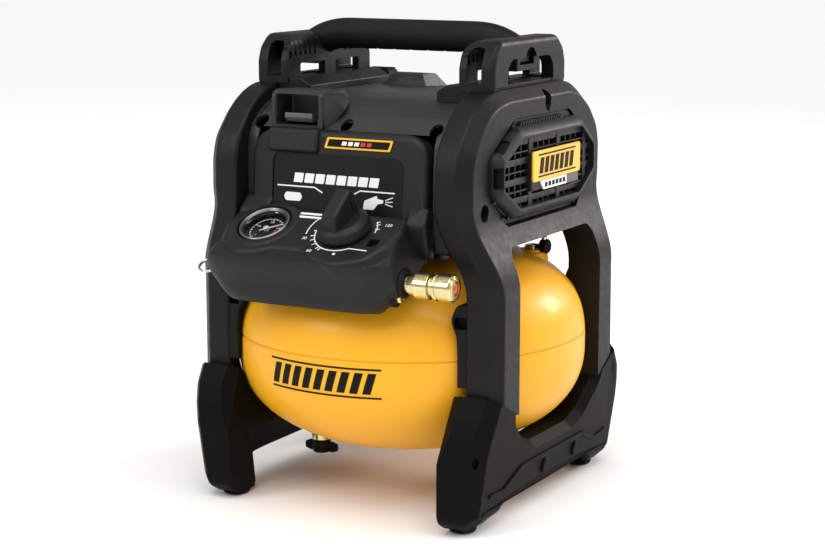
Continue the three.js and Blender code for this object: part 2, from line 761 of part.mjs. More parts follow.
function pullRing() {
  const { ring, wire, y, z, tilt } = VALVE;
  const geometry = new THREE.TorusGeometry(ring, wire, 6, 22);
  geometry.rotateX(THREE.MathUtils.degToRad(tilt));
  geometry.translate(EYE.x - ring, y, z);
  return solidOf(geometry);
}

function drainValveBody() {
  const { x, y, seat } = DRAIN;
  return turnedPart([
    [0, seat - 20], [4.6, seat - 20], [4.6, seat - 16], [9, seat - 16], [9, seat - 8],
    [4.7, seat - 7], [4.7, seat + 8], [0, seat + 8],
  ], 18, 'z', [x, y, 0]);
}

function drainValveHandle() {
  const { x, y, seat } = DRAIN;
  const ring = turnedPart([
    [4.95, seat - 28], [7.4, seat - 28], [8.4, seat - 26], [8.4, seat - 16.6],
    [4.95, seat - 16.6], [4.95, seat - 28],
  ], 18, 'z', [x, y, 0]);
  const wings = [-1, 1].map((side) => {
    const [x0, x1] = [x + side * 7, x + side * 17].sort((a, b) => a - b);
    return block(x0, x1, y - 1.6, y + 1.6, seat - 27, seat - 18);
  });
  return join(ring, ...wings);
}

// Brass fitting on the tank's shoulder, with its black cap.
function portFitting() {
  const { x, y } = PORT.side;
  const seat = tankSeat(PORT.side);
  const stem = rod('z', 5.6, seat - 8, seat + 10, [x, y, 0], 16);
  const hex = rod('z', 8.5, seat + 4.5, seat + 12, [x, y, 0], 6);
  const arm = rod('x', 5, x, x + 18, [0, y, seat + 9], 14);
  return join(stem, hex, arm);
}

// ---------------------------------------------------------------- vents and badges
function ventGrille() {
  const edge = octagon(VENT.y - GAP, VENT.low + GAP, VENT.high - GAP, 20, 34);
  const plate = prism('x', edge, 116, 124.6);
  const ring = prism('x', octagon(89, 259, 326, 18, 26), 120, VENT.x - 4, { bevel: 4 });
  const slots = [];
  for (let row = 0; row < 5; row += 1) {
    const z = 268 + row * 11;
    const half = row === 0 || row === 4 ? 58 : 76;
    slots.push(block(100, 150, -half, half, z, z + 6.4));
  }
  const bars = [];
  for (let i = -2; i <= 2; i += 1) {
    bars.push(block(118, VENT.x - 5, i * 30 - 1.6, i * 30 + 1.6, 264, 322));
  }
  const pad = block(119, VENT.x, -37, 57, 271, 311);
  return join(cut(join(plate, ring), ...slots), ...bars, pad);
}

function badge() {
  const plate = roundedRectangle(-36.5, 58.5, 284.7, 310.6, 3);
  return prism('x', plate, VENT.x + GAP, VENT.x + 2, { curveSegments: 3 });
}

// ---------------------------------------------------------------- pump
// The plate that carries the pump, on six feet that rest on the tank.
function pumpDeck() {
  const plate = block(-84, 84, -72, 84, TANK_TOP + 2, TANK_TOP + 5);
  const ports = [PORT.check, PORT.side].map(({ x, y }) => rod('z', 15, 200, 240, [x, y, 0], 20));
  const feet = [
    [-56, -48], [56, -48], [-66, 30], [66, 30], [0, -60], [10, 70],
  ].map(([x, y]) => rod('z', 7, 195, TANK_TOP + 3, [x, y, 0], 16));
  return cut(join(plate, ...feet), ...ports, tankRoom);
}

const DECK = TANK_TOP + 5;
const CYLINDER_X = -52;

function crankcase() {
  const { y, z } = PUMP;
  const box = block(-72, -8, y - 34, y + 34, DECK + GAP, z + 30);
  const room = block(-67, -13, y - 29, y + 29, DECK + 6, z + 40);
  const bearing = rod('x', 13, -20, 2, [0, y, z]);
  const bore = rod('x', PUMP.shaft + GAP, -30, 10, [0, y, z]);
  const open = block(-73, -60, y - 24, y + 24, DECK + 8, z + 24);
  return cut(join(cut(box, room), bearing), bore, open);
}

function cylinder() {
  const { y, z } = PUMP;
  const low = z + 30 + GAP;
  return turnedPart([
    [20.3, low], [30, low], [30, low + 4], [25, low + 4], [25, low + 26], [20.3, low + 26], [20.3, low],
  ], 24, 'z', [CYLINDER_X + 8, y, 0]);
}

function cylinderHead() {
  const { y, z } = PUMP;
  const low = z + 56 + GAP * 2;
  const plate = block(CYLINDER_X - 18, CYLINDER_X + 34, y - 26, y + 26, low, low + 7);
  const fins = [];
  for (let i = 0; i < 6; i += 1) {
    const x = CYLINDER_X - 16 + i * 9;
    fins.push(block(x, x + 3, y - 24, y + 24, low + 6, low + 15));
  }
  const port = block(CYLINDER_X, CYLINDER_X + 16, y + 25, y + 34, low, low + 11);
  const inlet = rod('y', 3.7, y + 28, y + 60, [CYLINDER_X + 8, 0, low + 5.5], 14);
  return cut(join(plate, ...fins, port), inlet);
}

// Piston with its wobble rod; the big end stops short of the crank pin, along the shaft.
function piston() {
  const { y, z } = PUMP;
  const x = CYLINDER_X + 8;
  const crown = rod('z', 19.9, z + 46, z + 53, [x, y, 0], 28);
  const shank = block(x - 3.5, x + 3.5, y - 6, y + 6, z + 10, z + 47);
  const bigEnd = rod('x', 11, x - 3.5, x + 3.5, [0, y, z + PUMP.throw], 20);
  return cut(join(crown, shank, bigEnd), rod('x', 6.4, x - 10, x + 10, [0, y, z + PUMP.throw], 20));
}

function motorRotor() {
  const { y, z, shaft } = PUMP;
  const core = rod('x', 25, 12, 56, [0, y, z], 28);
  return join(core, rod('x', shaft, -24, 84, [0, y, z], 20));
}

function motorStator() {
  const { y, z } = PUMP;
  const band = [[26, 10], [42, 10], [42, 58], [26, 58], [26, 10]];
  const ring = turnedPart(band, 28, 'x', [0, y, z]);
  const feet = block(14, 54, y - 30, y + 30, DECK + GAP, z - 36);
  const bore = rod('x', 30, 0, 70, [0, y, z], 28);
  return join(ring, cut(feet, bore));
}

function crankDisc() {
  const { y, z, shaft } = PUMP;
  const disc = rod('x', 15, -34, -25, [0, y, z], 24);
  const weight = prism('x', outline([
    [y - 20, z - 4], [y - 14, z - 19], [y, z - 23], [y + 14, z - 19], [y + 20, z - 4],
  ]), -34, -25);
  const pin = rod('x', 5, -38.5, -33, [0, y, z + PUMP.throw], 16);
  const bore = rod('x', shaft + GAP, -30, -20, [0, y, z], 20);
  return cut(join(disc, weight, pin), bore);
}

const BLADES = 7;

function coolingFan() {
  const { y, z, shaft } = PUMP;
  const hub = rod('x', 14, 68, 82, [0, y, z], 24);
  const blades = [];
  for (let i = 0; i < BLADES; i += 1) {
    const geometry = new THREE.BoxGeometry(10, 3, 36);
    geometry.rotateZ(0.5);
    geometry.translate(0, 0, 29);
    geometry.rotateX((i * Math.PI * 2) / BLADES);
    geometry.translate(75, y, z);
    blades.push(solidOf(geometry));
  }
  const band = [[45.5, 70], [48, 70], [48, 80], [45.5, 80], [45.5, 70]];
  const rim = turnedPart(band, 24, 'x', [0, y, z]);
  return cut(join(hub, ...blades, rim), rod('x', shaft + GAP, 60, 90, [0, y, z], 20));
}

// ---------------------------------------------------------------- plumbing and electrics
function checkValve() {
  const { x, y } = PORT.check;
  const seat = tankSeat(PORT.check);
  const body = join(
    rod('z', 5.6, seat - 8, seat + 8, [x, y, 0], 16),
    rod('z', 9, seat + 5, seat + 24, [x, y, 0], 6),
    rod('z', 5.5, seat + 23, seat + 32, [x, y, 0], 16),
  );
  return cut(body, rod('z', 3.7, seat + 26, seat + 40, [x, y, 0], 14));
}

function deliveryTube() {
  const { y, z } = PUMP;
  const head = [CYLINDER_X + 8, y + 29, z + 56 + GAP * 2 + 5.5];
  const { x: px, y: py } = PORT.check;
  return swept([
    head, [head[0], head[1] + 12, head[2]], [head[0] + 1, head[1] + 24, head[2] - 10],
    [px, py + 4, 305], [px, py, 285], [px, py, 246],
  ], 3, 16, 8);
}

function pressureSwitch() {
  return join(
    block(8, 44, 62, 90, DECK + GAP, DECK + 34),
    rod('z', 6, DECK + 33, DECK + 42, [26, 76, 0], 16),
  );
}

function controlBoard() {
  const parts = [[-60, -84], [-30, -86], [0, -84], [34, -86]].map(
    ([x, y]) => block(x, x + 16, y, y + 14, 262, 290),
  );
  return join(block(-74, 62, -74, -71.6, 240, 312), ...parts);
}

// ---------------------------------------------------------------- assembly
const group = new THREE.Group();
group.name = 'pancake_compressor';

function add(name, solid, finish) {
  const mesh = new THREE.Mesh(geometryOf(solid), finish);
  mesh.name = name;
  group.add(mesh);
}

function addPair(name, solid, finish) {
  add(`right_${name}`, solid, finish);
  add(`left_${name}`, mirrored(solid), finish);
}

add('tank_upper_shell', tankUpper(), paint);
add('tank_lower_shell', tankLower(), paint);

addPair('side_frame', sideFrame(), cagePlastic);
addPair('base_rail', baseRail(), cagePlastic);
addPair('handle_bracket', handleBracket(), cagePlastic);
addPair('vent_grille', ventGrille(), panelPlastic);
addPair('badge', badge(), yellowTrim);

for (const [place, sx, sy] of [
  ['front_right', 1, -1], ['front_left', -1, -1], ['rear_right', 1, 1], ['rear_left', -1, 1],
]) {
  const pad = placed(foot(), new THREE.Vector3(sx * FOOT.x, sy * FOOT.y, 0));
  add(`foot_${place}`, pad, rubber);
  const tab = sx > 0 ? tankMount() : mirrored(tankMount());
  const turn = sy > 0 ? solidOf(flipped(geometryOf(tab).scale(1, -1, 1))) : tab;
  add(`tank_mount_${place}`, turn, rubber);
}

add('carry_handle', handleBar(HANDLE.core, HANDLE.end), cagePlastic);
add('handle_grip', handleGrip(), rubber);
add('top_shroud', topShroud(), panelPlastic);
add('rear_shroud', rearShroud(), panelPlastic);
add('release_button', releaseButton(), rubber);
add('terminal_block', terminalBlock(), labelBlack);
add('control_panel', controlPanel(), panelPlastic);
add('control_label', controlLabel(), labelBlack);
add('accent_strip', accentStrip(), yellowTrim);
add('power_rocker', powerRocker(), greyPlastic);

add('gauge_case', gaugeCase(), darkSteel);
add('gauge_bezel', gaugeBezel(), steel);
add('gauge_dial', gaugeDial(), labelBlack);
add('gauge_needle', gaugeNeedle(), orange);
add('gauge_lens', gaugeLens(), clear);
add('regulator_body', regulatorBody(), brass);
add('regulator_knob', regulatorKnob(), panelPlastic);

add('coupler_body', couplerBody(), brass);
add('coupler_sleeve', couplerSleeve(), brass);
add('coupler_valve', couplerValve(), orange);
add('coupler_collar', couplerCollar(), rubber);
add('safety_valve_body', safetyValveBody(), brass);
add('safety_valve_stem', safetyValveStem(), steel);
add('safety_pull_ring', pullRing(), steel);
add('drain_valve_body', drainValveBody(), brass);
add('drain_valve_handle', drainValveHandle(), rubber);
add('port_fitting', portFitting(), brass);

add('pump_deck', pumpDeck(), darkSteel);
add('crankcase', crankcase(), aluminium);
add('cylinder', cylinder(), aluminium);
add('cylinder_head', cylinderHead(), aluminium);
add('piston', piston(), aluminium);
add('motor_stator', motorStator(), darkSteel);
add('motor_rotor', motorRotor(), steel);
add('crank_disc', crankDisc(), steel);
add('cooling_fan', coolingFan(), labelBlack);
add('check_valve', checkValve(), brass);
add('delivery_tube', deliveryTube(), copper);
add('pressure_switch', pressureSwitch(), labelBlack);
add('control_board', controlBoard(), boardGreen);

// The origin is the bottom centre of the bounding box.
const middle = new THREE.Box3().setFromObject(group).getCenter(new THREE.Vector3());
group.position.y = -middle.y;

export default group;
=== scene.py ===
"""Pancake air compressor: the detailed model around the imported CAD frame.

Shapes are drawn in millimetres about the tank's axis, front towards -Y, and each piece is
moved to the row frame, in metres, when it is handed to its body.
"""
import bmesh
import bpy
import math
from mathutils import Matrix, Vector


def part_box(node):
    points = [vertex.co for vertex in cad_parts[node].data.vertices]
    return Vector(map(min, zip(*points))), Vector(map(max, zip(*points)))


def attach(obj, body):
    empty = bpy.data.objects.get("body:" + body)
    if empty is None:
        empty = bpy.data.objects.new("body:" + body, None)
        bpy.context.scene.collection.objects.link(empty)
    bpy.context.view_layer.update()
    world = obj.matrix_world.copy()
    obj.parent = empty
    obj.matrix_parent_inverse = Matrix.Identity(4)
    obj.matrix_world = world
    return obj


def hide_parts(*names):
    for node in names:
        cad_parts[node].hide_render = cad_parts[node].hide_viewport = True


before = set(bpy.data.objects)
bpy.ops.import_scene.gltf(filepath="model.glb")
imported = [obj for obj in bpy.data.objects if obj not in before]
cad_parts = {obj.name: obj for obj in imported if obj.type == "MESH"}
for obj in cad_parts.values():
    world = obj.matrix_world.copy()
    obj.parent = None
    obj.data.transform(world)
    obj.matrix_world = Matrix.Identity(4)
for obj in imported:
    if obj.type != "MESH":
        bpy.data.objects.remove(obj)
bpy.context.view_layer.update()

MM = 0.001
tank_low, tank_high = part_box("tank_lower_shell")
AXIS_Y = (tank_low.y + tank_high.y) / 2
TO_ROW = Matrix.Translation((0, AXIS_Y, 0)) @ Matrix.Scale(MM, 4)

# ---------------------------------------------------------------- driving dimensions, mm
GAP = 0.35
TANK_R, TANK_MID = 156, 130
TANK_TOP, TOP_POWER = 90.4, 2.74
TANK_LOW, LOW_POWER = 90.1, 2.36
SEAM = 142.5
FRAME_IN, FRAME_OUT = 95.5, 126.5
LEAN, LEAN_LOW, LEAN_HIGH = 21.5, 200, 268
SHROUD_HALF, SHROUD_TOP = 95.2, 354.8
SLOPE = math.radians(29)
SLOPE_AT = Vector((0, -148, 250.2))
GAUGE_X, GAUGE_R = -59.3, 22.4
KNOB_X, KNOB_TURN = 20, math.radians(-8)
COUPLER_Y, COUPLER_Z = -148, 211.5
VALVE_Y, VALVE_Z = -146, 210
PULL_RING_R, PULL_RING_WIRE, PULL_RING_TILT = 10.2, 1.2, math.radians(24)
HUMP_IN, HUMP_OUT, HUMP_HALF, HUMP_BASE, HUMP_TOP = 84, 116.5, 71, 362, 404
DRAIN = (-78, -30, 49)
FOOT_X, FOOT_Y = 113.7, 117
# The label's face leans back above the bend.
LABEL_Y, LABEL_BEND, LABEL_LEAN = -124.4, 262, 0.10
# A corner's curve takes at most this share of either side.
CORNER_SHARE = 0.48


# ---------------------------------------------------------------- camera, floor and light
def add_camera():
    azimuth, elevation = math.radians(29.12), math.radians(10.5)
    towards = Vector((math.sin(azimuth) * math.cos(elevation), -math.cos(azimuth) * math.cos(elevation),
        math.sin(elevation),))
    data = bpy.data.cameras.new("camera")
    data.lens = 83.14
    camera = bpy.data.objects.new("camera", data)
    camera.location = (0.8201, -1.4709 + AXIS_Y, 0.5)
    camera.rotation_euler = (-towards).to_track_quat("-Z", "Y").to_euler()
    bpy.context.scene.collection.objects.link(camera)
    bpy.context.scene.camera = camera


def add_light(name, at, target, size, power, colour=(1, 1, 1)):
    data = bpy.data.lights.new(name, "AREA")
    data.shape = "RECTANGLE"
    data.size, data.size_y = size
    data.energy = power
    data.color = colour
    light = bpy.data.objects.new(name, data)
    light.location = at
    light.rotation_euler = (Vector(target) - Vector(at)).to_track_quat("-Z", "Y").to_euler()
    bpy.context.scene.collection.objects.link(light)


def add_studio():
    add_camera()
    mesh = bpy.data.meshes.new("floor")
    half = 40
    corners = [(-half, -half, 0), (half, -half, 0), (half, half, 0), (-half, half, 0)]
    mesh.from_pydata(corners, [], [(0, 1, 2, 3)])
    floor = bpy.data.objects.new("floor", mesh)
    bpy.context.scene.collection.objects.link(floor)
    mesh.materials.append(plain_finish("floor_white", (0.9, 0.9, 0.9), 0.8))

    world = bpy.data.worlds.new("studio")
    world.use_nodes = True
    world.node_tree.nodes["Background"].inputs["Color"].default_value = (1, 1, 1, 1)
    world.node_tree.nodes["Background"].inputs["Strength"].default_value = 0.42
    bpy.context.scene.world = world
    sun = bpy.data.lights.new("sky", "SUN")
    sun.energy = 2.3
    sun.angle = math.radians(60)
    light = bpy.data.objects.new("sky", sun)
    light.rotation_euler = (math.radians(24), math.radians(8), 0)
    bpy.context.scene.collection.objects.link(light)
    middle = (0, 0, 0.22)
    add_light("key", (-1.3, -2.0, 1.5), middle, (0.9, 0.9), 16)
    add_light("rear", (1.3, 2.0, 1.15), (0, 0, 0.36), (0.7, 0.7), 34, (1, 0.95, 0.92))
    add_light("side", (2.2, -0.1, 1.5), middle, (0.8, 1.2), 12, (1, 0.95, 0.9))
    bpy.context.scene.view_settings.view_transform = "Standard"


# ---------------------------------------------------------------- materials
def plain_finish(name, colour, roughness):
    material = bpy.data.materials.new(name)
    material.use_nodes = True
    shader = material.node_tree.nodes["Principled BSDF"]
    shader.inputs["Base Color"].default_value = (*colour, 1)
    shader.inputs["Roughness"].default_value = roughness
    return material


def noise(tree, scale, detail=3.0, stretch=None):
    """A noise texture in the piece's own space; stretch scales its axes for brushed metal."""
    coords = tree.nodes.new("ShaderNodeTexCoord")
    texture = tree.nodes.new("ShaderNodeTexNoise")
    texture.inputs["Scale"].default_value = scale
    texture.inputs["Detail"].default_value = detail
    source = coords.outputs["Object"]
    if stretch:
        mapping = tree.nodes.new("ShaderNodeMapping")
        mapping.inputs["Scale"].default_value = stretch
        tree.links.new(source, mapping.inputs["Vector"])
        source = mapping.outputs["Vector"]
    tree.links.new(source, texture.inputs["Vector"])
    return texture.outputs["Fac"]


def spread(tree, source, low, high):
    """Maps the middle of a noise to a range of values."""
    node = tree.nodes.new("ShaderNodeMapRange")
    node.inputs["From Min"].default_value = 0.3
    node.inputs["From Max"].default_value = 0.7
    node.inputs["To Min"].default_value = low
    node.inputs["To Max"].default_value = high
    tree.links.new(source, node.inputs["Value"])
    return node.outputs["Result"]


def finish(name, colour, roughness, metallic=0.0, vary=0.1, patch=24, grain=1400, depth=0.02,
           rough_vary=0.06, coat=0.0, specular=0.5, stretch=None):
    """A node material: patchy colour and roughness, with a fine grain depth mm deep."""
    material = plain_finish(name, colour, roughness)
    tree = material.node_tree
    shader = tree.nodes["Principled BSDF"]
    shader.inputs["Metallic"].default_value = metallic
    shader.inputs["Specular IOR Level"].default_value = specular
    shader.inputs["Coat Weight"].default_value = coat
    shader.inputs["Coat Roughness"].default_value = 0.12
    mix = tree.nodes.new("ShaderNodeMix")
    mix.data_type = "RGBA"
    mix.inputs["A"].default_value = (*[c * (1 - vary) for c in colour], 1)
    mix.inputs["B"].default_value = (*[min(1, c * (1 + vary)) for c in colour], 1)
    tree.links.new(spread(tree, noise(tree, patch), 0, 1), mix.inputs["Factor"])
    tree.links.new(mix.outputs["Result"], shader.inputs["Base Color"])
    rough = spread(tree, noise(tree, patch * 7), roughness - rough_vary, roughness + rough_vary)
    tree.links.new(rough, shader.inputs["Roughness"])
    bump = tree.nodes.new("ShaderNodeBump")
    bump.inputs["Strength"].default_value = 1.0
    bump.inputs["Distance"].default_value = depth * MM
    tree.links.new(noise(tree, grain, 2.0, stretch), bump.inputs["Height"])
    tree.links.new(bump.outputs["Normal"], shader.inputs["Normal"])
    return material


def make_finishes():
    """Each finish by a short name, with the record's slot that it stands for."""
    along_x, along_y = (0.08, 1, 1), (1, 0.08, 1)
    table = {}

    def add(look, slot_name, name, *values, **more):
        table[look] = (slot_name, finish(name, *values, **more))

    add("paint", "tank_paint", "tank_paint", (0.9, 0.42, 0.012), 0.42, vary=0.02, patch=9, grain=260,
        depth=0.02, coat=0.08, specular=0.32)
    # The boots' finish is the cage plastic with painted shade: darker and less glossy, for the lower parts
    # that the light falls off from.
    add("boot", "cage_plastic", "cage_plastic_painted_shade", (0.0028, 0.0027, 0.0026), 0.5, vary=0.04, grain=1500,
        depth=0.015, rough_vary=0.02, specular=0.07)
    add("cage", "cage_plastic", "cage_plastic", (0.0055, 0.0054, 0.0053), 0.46, grain=1500, depth=0.025,
        specular=0.2)
    add("panel", "panel_plastic", "panel_plastic", (0.0085, 0.0086, 0.0086), 0.47, grain=1200,
        depth=0.035, specular=0.27)
    # The shroud's finish is the panel plastic with painted light: lighter and glossier, for the top lit from
    # above.
    add("shroud", "panel_plastic", "panel_plastic_painted_light", (0.016, 0.016, 0.0165), 0.5, grain=1200,
        depth=0.045, specular=0.45)
    add("label", "label_black", "label_film", (0.004, 0.0035, 0.004), 0.5, grain=700, depth=0.01,
        specular=0.22)
    add("ink", "label_black", "black_ink", (0.004, 0.004, 0.004), 0.55, grain=900, depth=0.01,
        specular=0.15)
    add("white", "label_black", "white_ink", (0.8, 0.8, 0.79), 0.45, vary=0.04, grain=900, depth=0.01)
    add("red", "label_black", "red_ink", (0.5, 0.03, 0.03), 0.45, grain=900, depth=0.01)
    add("yellow", "trim_yellow", "trim_yellow", (0.95, 0.5, 0.012), 0.35, vary=0.03, grain=500,
        depth=0.01, coat=0.2)
    add("rubber", "rubber_black", "rubber_black", (0.004, 0.004, 0.004), 0.6, grain=800, depth=0.06,
        specular=0.2)
    add("rocker", "rocker_grey", "rocker_grey", (0.085, 0.085, 0.086), 0.45, grain=900, depth=0.03)
    add("brass", "brass_plain", "brass_plain", (0.80, 0.69, 0.36), 0.2, 1.0, vary=0.07, patch=60,
        grain=900, depth=0.02, stretch=along_x)
    add("steel", "steel_bright", "steel_bright", (0.62, 0.63, 0.64), 0.24, 1.0, vary=0.06, patch=60,
        grain=900, depth=0.02, stretch=along_y)
    add("dark_steel", "steel_dark", "steel_dark", (0.075, 0.078, 0.085), 0.36, 0.85, vary=0.12, patch=50,
        grain=900, depth=0.02)
    add("alloy", "cast_alloy", "cast_alloy", (0.45, 0.46, 0.48), 0.45, 0.9, vary=0.08, patch=70,
        grain=700, depth=0.12)
    add("copper", "copper_tube", "copper_tube", (0.72, 0.33, 0.16), 0.28, 1.0, vary=0.1, patch=50,
        grain=600, depth=0.02)
    add("board", "board_green", "board_green", (0.02, 0.11, 0.045), 0.45, grain=700, depth=0.02)
    add("orange", "valve_orange", "valve_orange", (0.62, 0.16, 0.045), 0.5, vary=0.06, patch=80,
        grain=900, depth=0.02)
    lens = finish("lens_clear", (0.95, 0.97, 0.97), 0.06, vary=0.02, grain=60, depth=0.01,
        rough_vary=0.02)
    lens.node_tree.nodes["Principled BSDF"].inputs["Transmission Weight"].default_value = 1.0
    lens.node_tree.nodes["Principled BSDF"].inputs["IOR"].default_value = 1.2
    table["lens"] = ("lens_clear", lens)
    add("bezel", "steel_bright", "bezel_steel", (0.2, 0.2, 0.2), 0.32, 0.9, vary=0.08, patch=60,
        grain=900, depth=0.01)
    add("pointer", "valve_orange", "pointer_white", (0.75, 0.72, 0.7), 0.4, vary=0.04, patch=60,
        grain=900, depth=0.01)
    return table


# ---------------------------------------------------------------- outlines
def rounded(points, radius=0.0, step=12.0, closed=True):
    """An outline with round corners. A point may carry its own radius as a third number."""
    out = []
    for i, point in enumerate(points):
        r = point[2] if len(point) > 2 else radius
        here = Vector(point[:2])
        back = Vector(points[i - 1][:2]) - here
        ahead = Vector(points[(i + 1) % len(points)][:2]) - here
        turn = math.pi - back.angle(ahead)
        end_point = not closed and i in (0, len(points) - 1)
        if r <= 0 or end_point or turn < 0.02:
            out.append(here)
            continue
        reach = min(r * math.tan(turn / 2), back.length * CORNER_SHARE, ahead.length * CORNER_SHARE)
        start = here + back.normalized() * reach
        stop = here + ahead.normalized() * reach
        count = max(1, math.ceil(math.degrees(turn) / step))
        for k in range(count + 1):
            t = k / count
            out.append(start * (1 - t) ** 2 + here * (2 * t * (1 - t)) + stop * t * t)
    return out


def mirrored_points(points):
    """An outline's half at negative a, then its mirror image back again."""
    return list(points) + [(-p[0], *p[1:]) for p in reversed(points)]


def box_outline(a0, a1, b0, b1, r):
    return rounded([(a0, b0), (a1, b0), (a1, b1), (a0, b1)], r)


def anticlockwise(loop):
    area = sum(a.x * b.y - b.x * a.y for a, b in zip(loop, loop[1:] + loop[:1]))
    return loop if area > 0 else loop[::-1]


def inset(loop, by):
    """An anticlockwise outline moved inwards."""
    out = []
    for i, here in enumerate(loop):
        before = (here - loop[i - 1]).normalized()
        after = (loop[(i + 1) % len(loop)] - here).normalized()
        normal_a = Vector((-before.y, before.x))
        normal_b = Vector((-after.y, after.x))
        reach = by / max(0.4, 1 + normal_a.dot(normal_b))
        out.append(here + (normal_a + normal_b) * reach)
    return out


def polar(r, t):
    return r * math.cos(t), r * math.sin(t)


# An edge is a list of (inset, depth), from the end face to the side.
SHARP = [(0, 0)]


def soft(r, steps=3):
    angles = [math.pi / 2 * i / steps for i in range(steps + 1)]
    return [(r * (1 - math.sin(t)), r * (1 - math.cos(t))) for t in angles]


def chamfer(size, drop, blend):
    """A flat chamfer with both of its edges blended."""
    path = [(size + blend * 1.5, 0), (size, 0), (0, drop), (0, drop + blend * 1.5)]
    return [tuple(p) for p in rounded(path, blend, 9, closed=False)]


# ---------------------------------------------------------------- meshes
def object_of(name, bm):
    bmesh.ops.recalc_face_normals(bm, faces=bm.faces)
    mesh = bpy.data.meshes.new(name)
    bm.to_mesh(mesh)
    bm.free()
    obj = bpy.data.objects.new(name, mesh)
    bpy.context.scene.collection.objects.link(obj)
    return obj


def stacked(name, rings):
    """A closed skin over rings that have the same number of points."""
    bm = bmesh.new()
    rows = [[bm.verts.new(point) for point in ring] for ring in rings]
    for lower, upper in zip(rows, rows[1:]):
        for i in range(len(lower)):
            j = (i + 1) % len(lower)
            bm.faces.new((lower[i], lower[j], upper[j], upper[i]))
    bm.faces.new(rows[0][::-1])
    bm.faces.new(rows[-1])
    return object_of(name, bm)


PLACES = {
    "x": lambda a, b, h: (h, a, b),
    "y": lambda a, b, h: (a, h, b),
    "z": lambda a, b, h: (a, b, h),
}


def prism(name, axis, loop, low, high, low_edge=SHARP, high_edge=SHARP):
    """An outline pushed along an axis. It is drawn in (y, z), (x, z) or (x, y)."""
    loop = anticlockwise([Vector(p[:2]) for p in loop])
    levels = [(low + depth, by) for by, depth in low_edge]
    levels += [(high - depth, by) for by, depth in reversed(high_edge)]
    place = PLACES[axis]
    return stacked(name, [[place(p.x, p.y, h) for p in inset(loop, by)] for h, by in levels])


def box(name, x0, x1, y0, y1, z0, z1, r=0.0, axis="z"):
    """A block whose edges are all rounded, drawn along an axis."""
    spans = {"x": (y0, y1, z0, z1, x0, x1), "y": (x0, x1, z0, z1, y0, y1),
             "z": (x0, x1, y0, y1, z0, z1)}
    a0, a1, b0, b1, low, high = spans[axis]
    loop = box_outline(a0, a1, b0, b1, r)
    edge = soft(r, 2) if r else SHARP
    return prism(name, axis, loop, low, high, edge, edge)


def lathe(name, profile, segments=64, axis="z", at=(0, 0, 0)):
    """Turns (radius, height) points about an axis. A profile off the axis closes on itself."""
    bm = bmesh.new()
    place = PLACES[axis]
    rows = []
    for r, h in profile:
        count = segments if r > 1e-6 else 1
        turns = [2 * math.pi * i / segments for i in range(count)]
        points = [place(*polar(r, t), h) for t in turns]
        rows.append([bm.verts.new(Vector(p) + Vector(at)) for p in points])
    pairs = list(zip(rows, rows[1:]))
    if len(rows[0]) > 1 and len(rows[-1]) > 1:
        pairs.append((rows[-1], rows[0]))
    for lower, upper in pairs:
        for i in range(segments):
            j = (i + 1) % segments
            if len(lower) > 1 and len(upper) > 1:
                bm.faces.new((lower[i], lower[j], upper[j], upper[i]))
            elif len(upper) > 1:
                bm.faces.new((lower[0], upper[j], upper[i]))
            elif len(lower) > 1:
                bm.faces.new((lower[i], lower[j], upper[0]))
    return object_of(name, bm)


def rod(name, axis, r, low, high, at=(0, 0, 0), edge=0.4, segments=48):
    profile = [(0, low), (r - edge, low), (r, low + edge), (r, high - edge), (r - edge, high), (0, high)]
    return lathe(name, profile, segments, axis, at)


def hexagon(name, axis, across, low, high, at):
    """A spanner hexagon with its corners chamfered round."""
    radius = across / math.sqrt(3)
    corners = [math.pi / 3 * i for i in range(6)]
    loop = rounded([polar(radius, t) for t in corners], 1.0)
    body = prism(name, axis, loop, low, high)
    body.data.transform(Matrix.Translation(at))
    cap = radius - across / 2
    cone = lathe("cone", [(0, low), (across / 2 + cap * 0.3, low), (radius + 1, low + 1.2),
        (radius + 1, high - 1.2), (across / 2 + cap * 0.3, high), (0, high)], 48, axis, at)
    return combine(body, "INTERSECT", [cone])


def swept(name, route, ring):
    """A closed bar along a route; ring(i) gives (across, up) points at the route's point i."""
    side = Vector((0, 1, 0))
    rings = []
    for i, point in enumerate(route):
        tangent = (route[min(i + 1, len(route) - 1)] - route[max(i - 1, 0)]).normalized()
        across = (side - tangent * side.dot(tangent)).normalized()
        up = tangent.cross(across)
        rings.append([point + across * a + up * b for a, b in ring(i)])
    return stacked(name, rings)


def hull(name, points):
    """The smallest convex solid round some points."""
    bm = bmesh.new()
    for point in points:
        bm.verts.new(point)
    bmesh.ops.convex_hull(bm, input=bm.verts[:])
    return object_of(name, bm)


def torus(name, radius, wire, at, tilt):
    count, sides = 48, 14
    bm = bmesh.new()
    rows = []
    for i in range(count):
        t = 2 * math.pi * i / count
        row = []
        for k in range(sides):
            s = 2 * math.pi * k / sides
            reach = radius + wire * math.cos(s)
            row.append(bm.verts.new((reach * math.cos(t), reach * math.sin(t), wire * math.sin(s))))
        rows.append(row)
    for i in range(count):
        a, b = rows[i], rows[(i + 1) % count]
        for k in range(sides):
            m = (k + 1) % sides
            bm.faces.new((a[k], b[k], b[m], a[m]))
    obj = object_of(name, bm)
    obj.data.transform(Matrix.Translation(at) @ Matrix.Rotation(tilt, 4, "X"))
    return obj


# ---------------------------------------------------------------- joining and handing over
def applied(obj):
    """Turns an object's modifiers into its mesh."""
    graph = bpy.context.evaluated_depsgraph_get()
    mesh = bpy.data.meshes.new_from_object(obj.evaluated_get(graph))
    obj.modifiers.clear()
    old, obj.data = obj.data, mesh
    bpy.data.meshes.remove(old)
    return obj


def torn_edges(mesh):
    """How many edges don't join exactly two faces."""
    bm = bmesh.new()
    bm.from_mesh(mesh)
    count = sum(not edge.is_manifold for edge in bm.edges)
    bm.free()
    return count


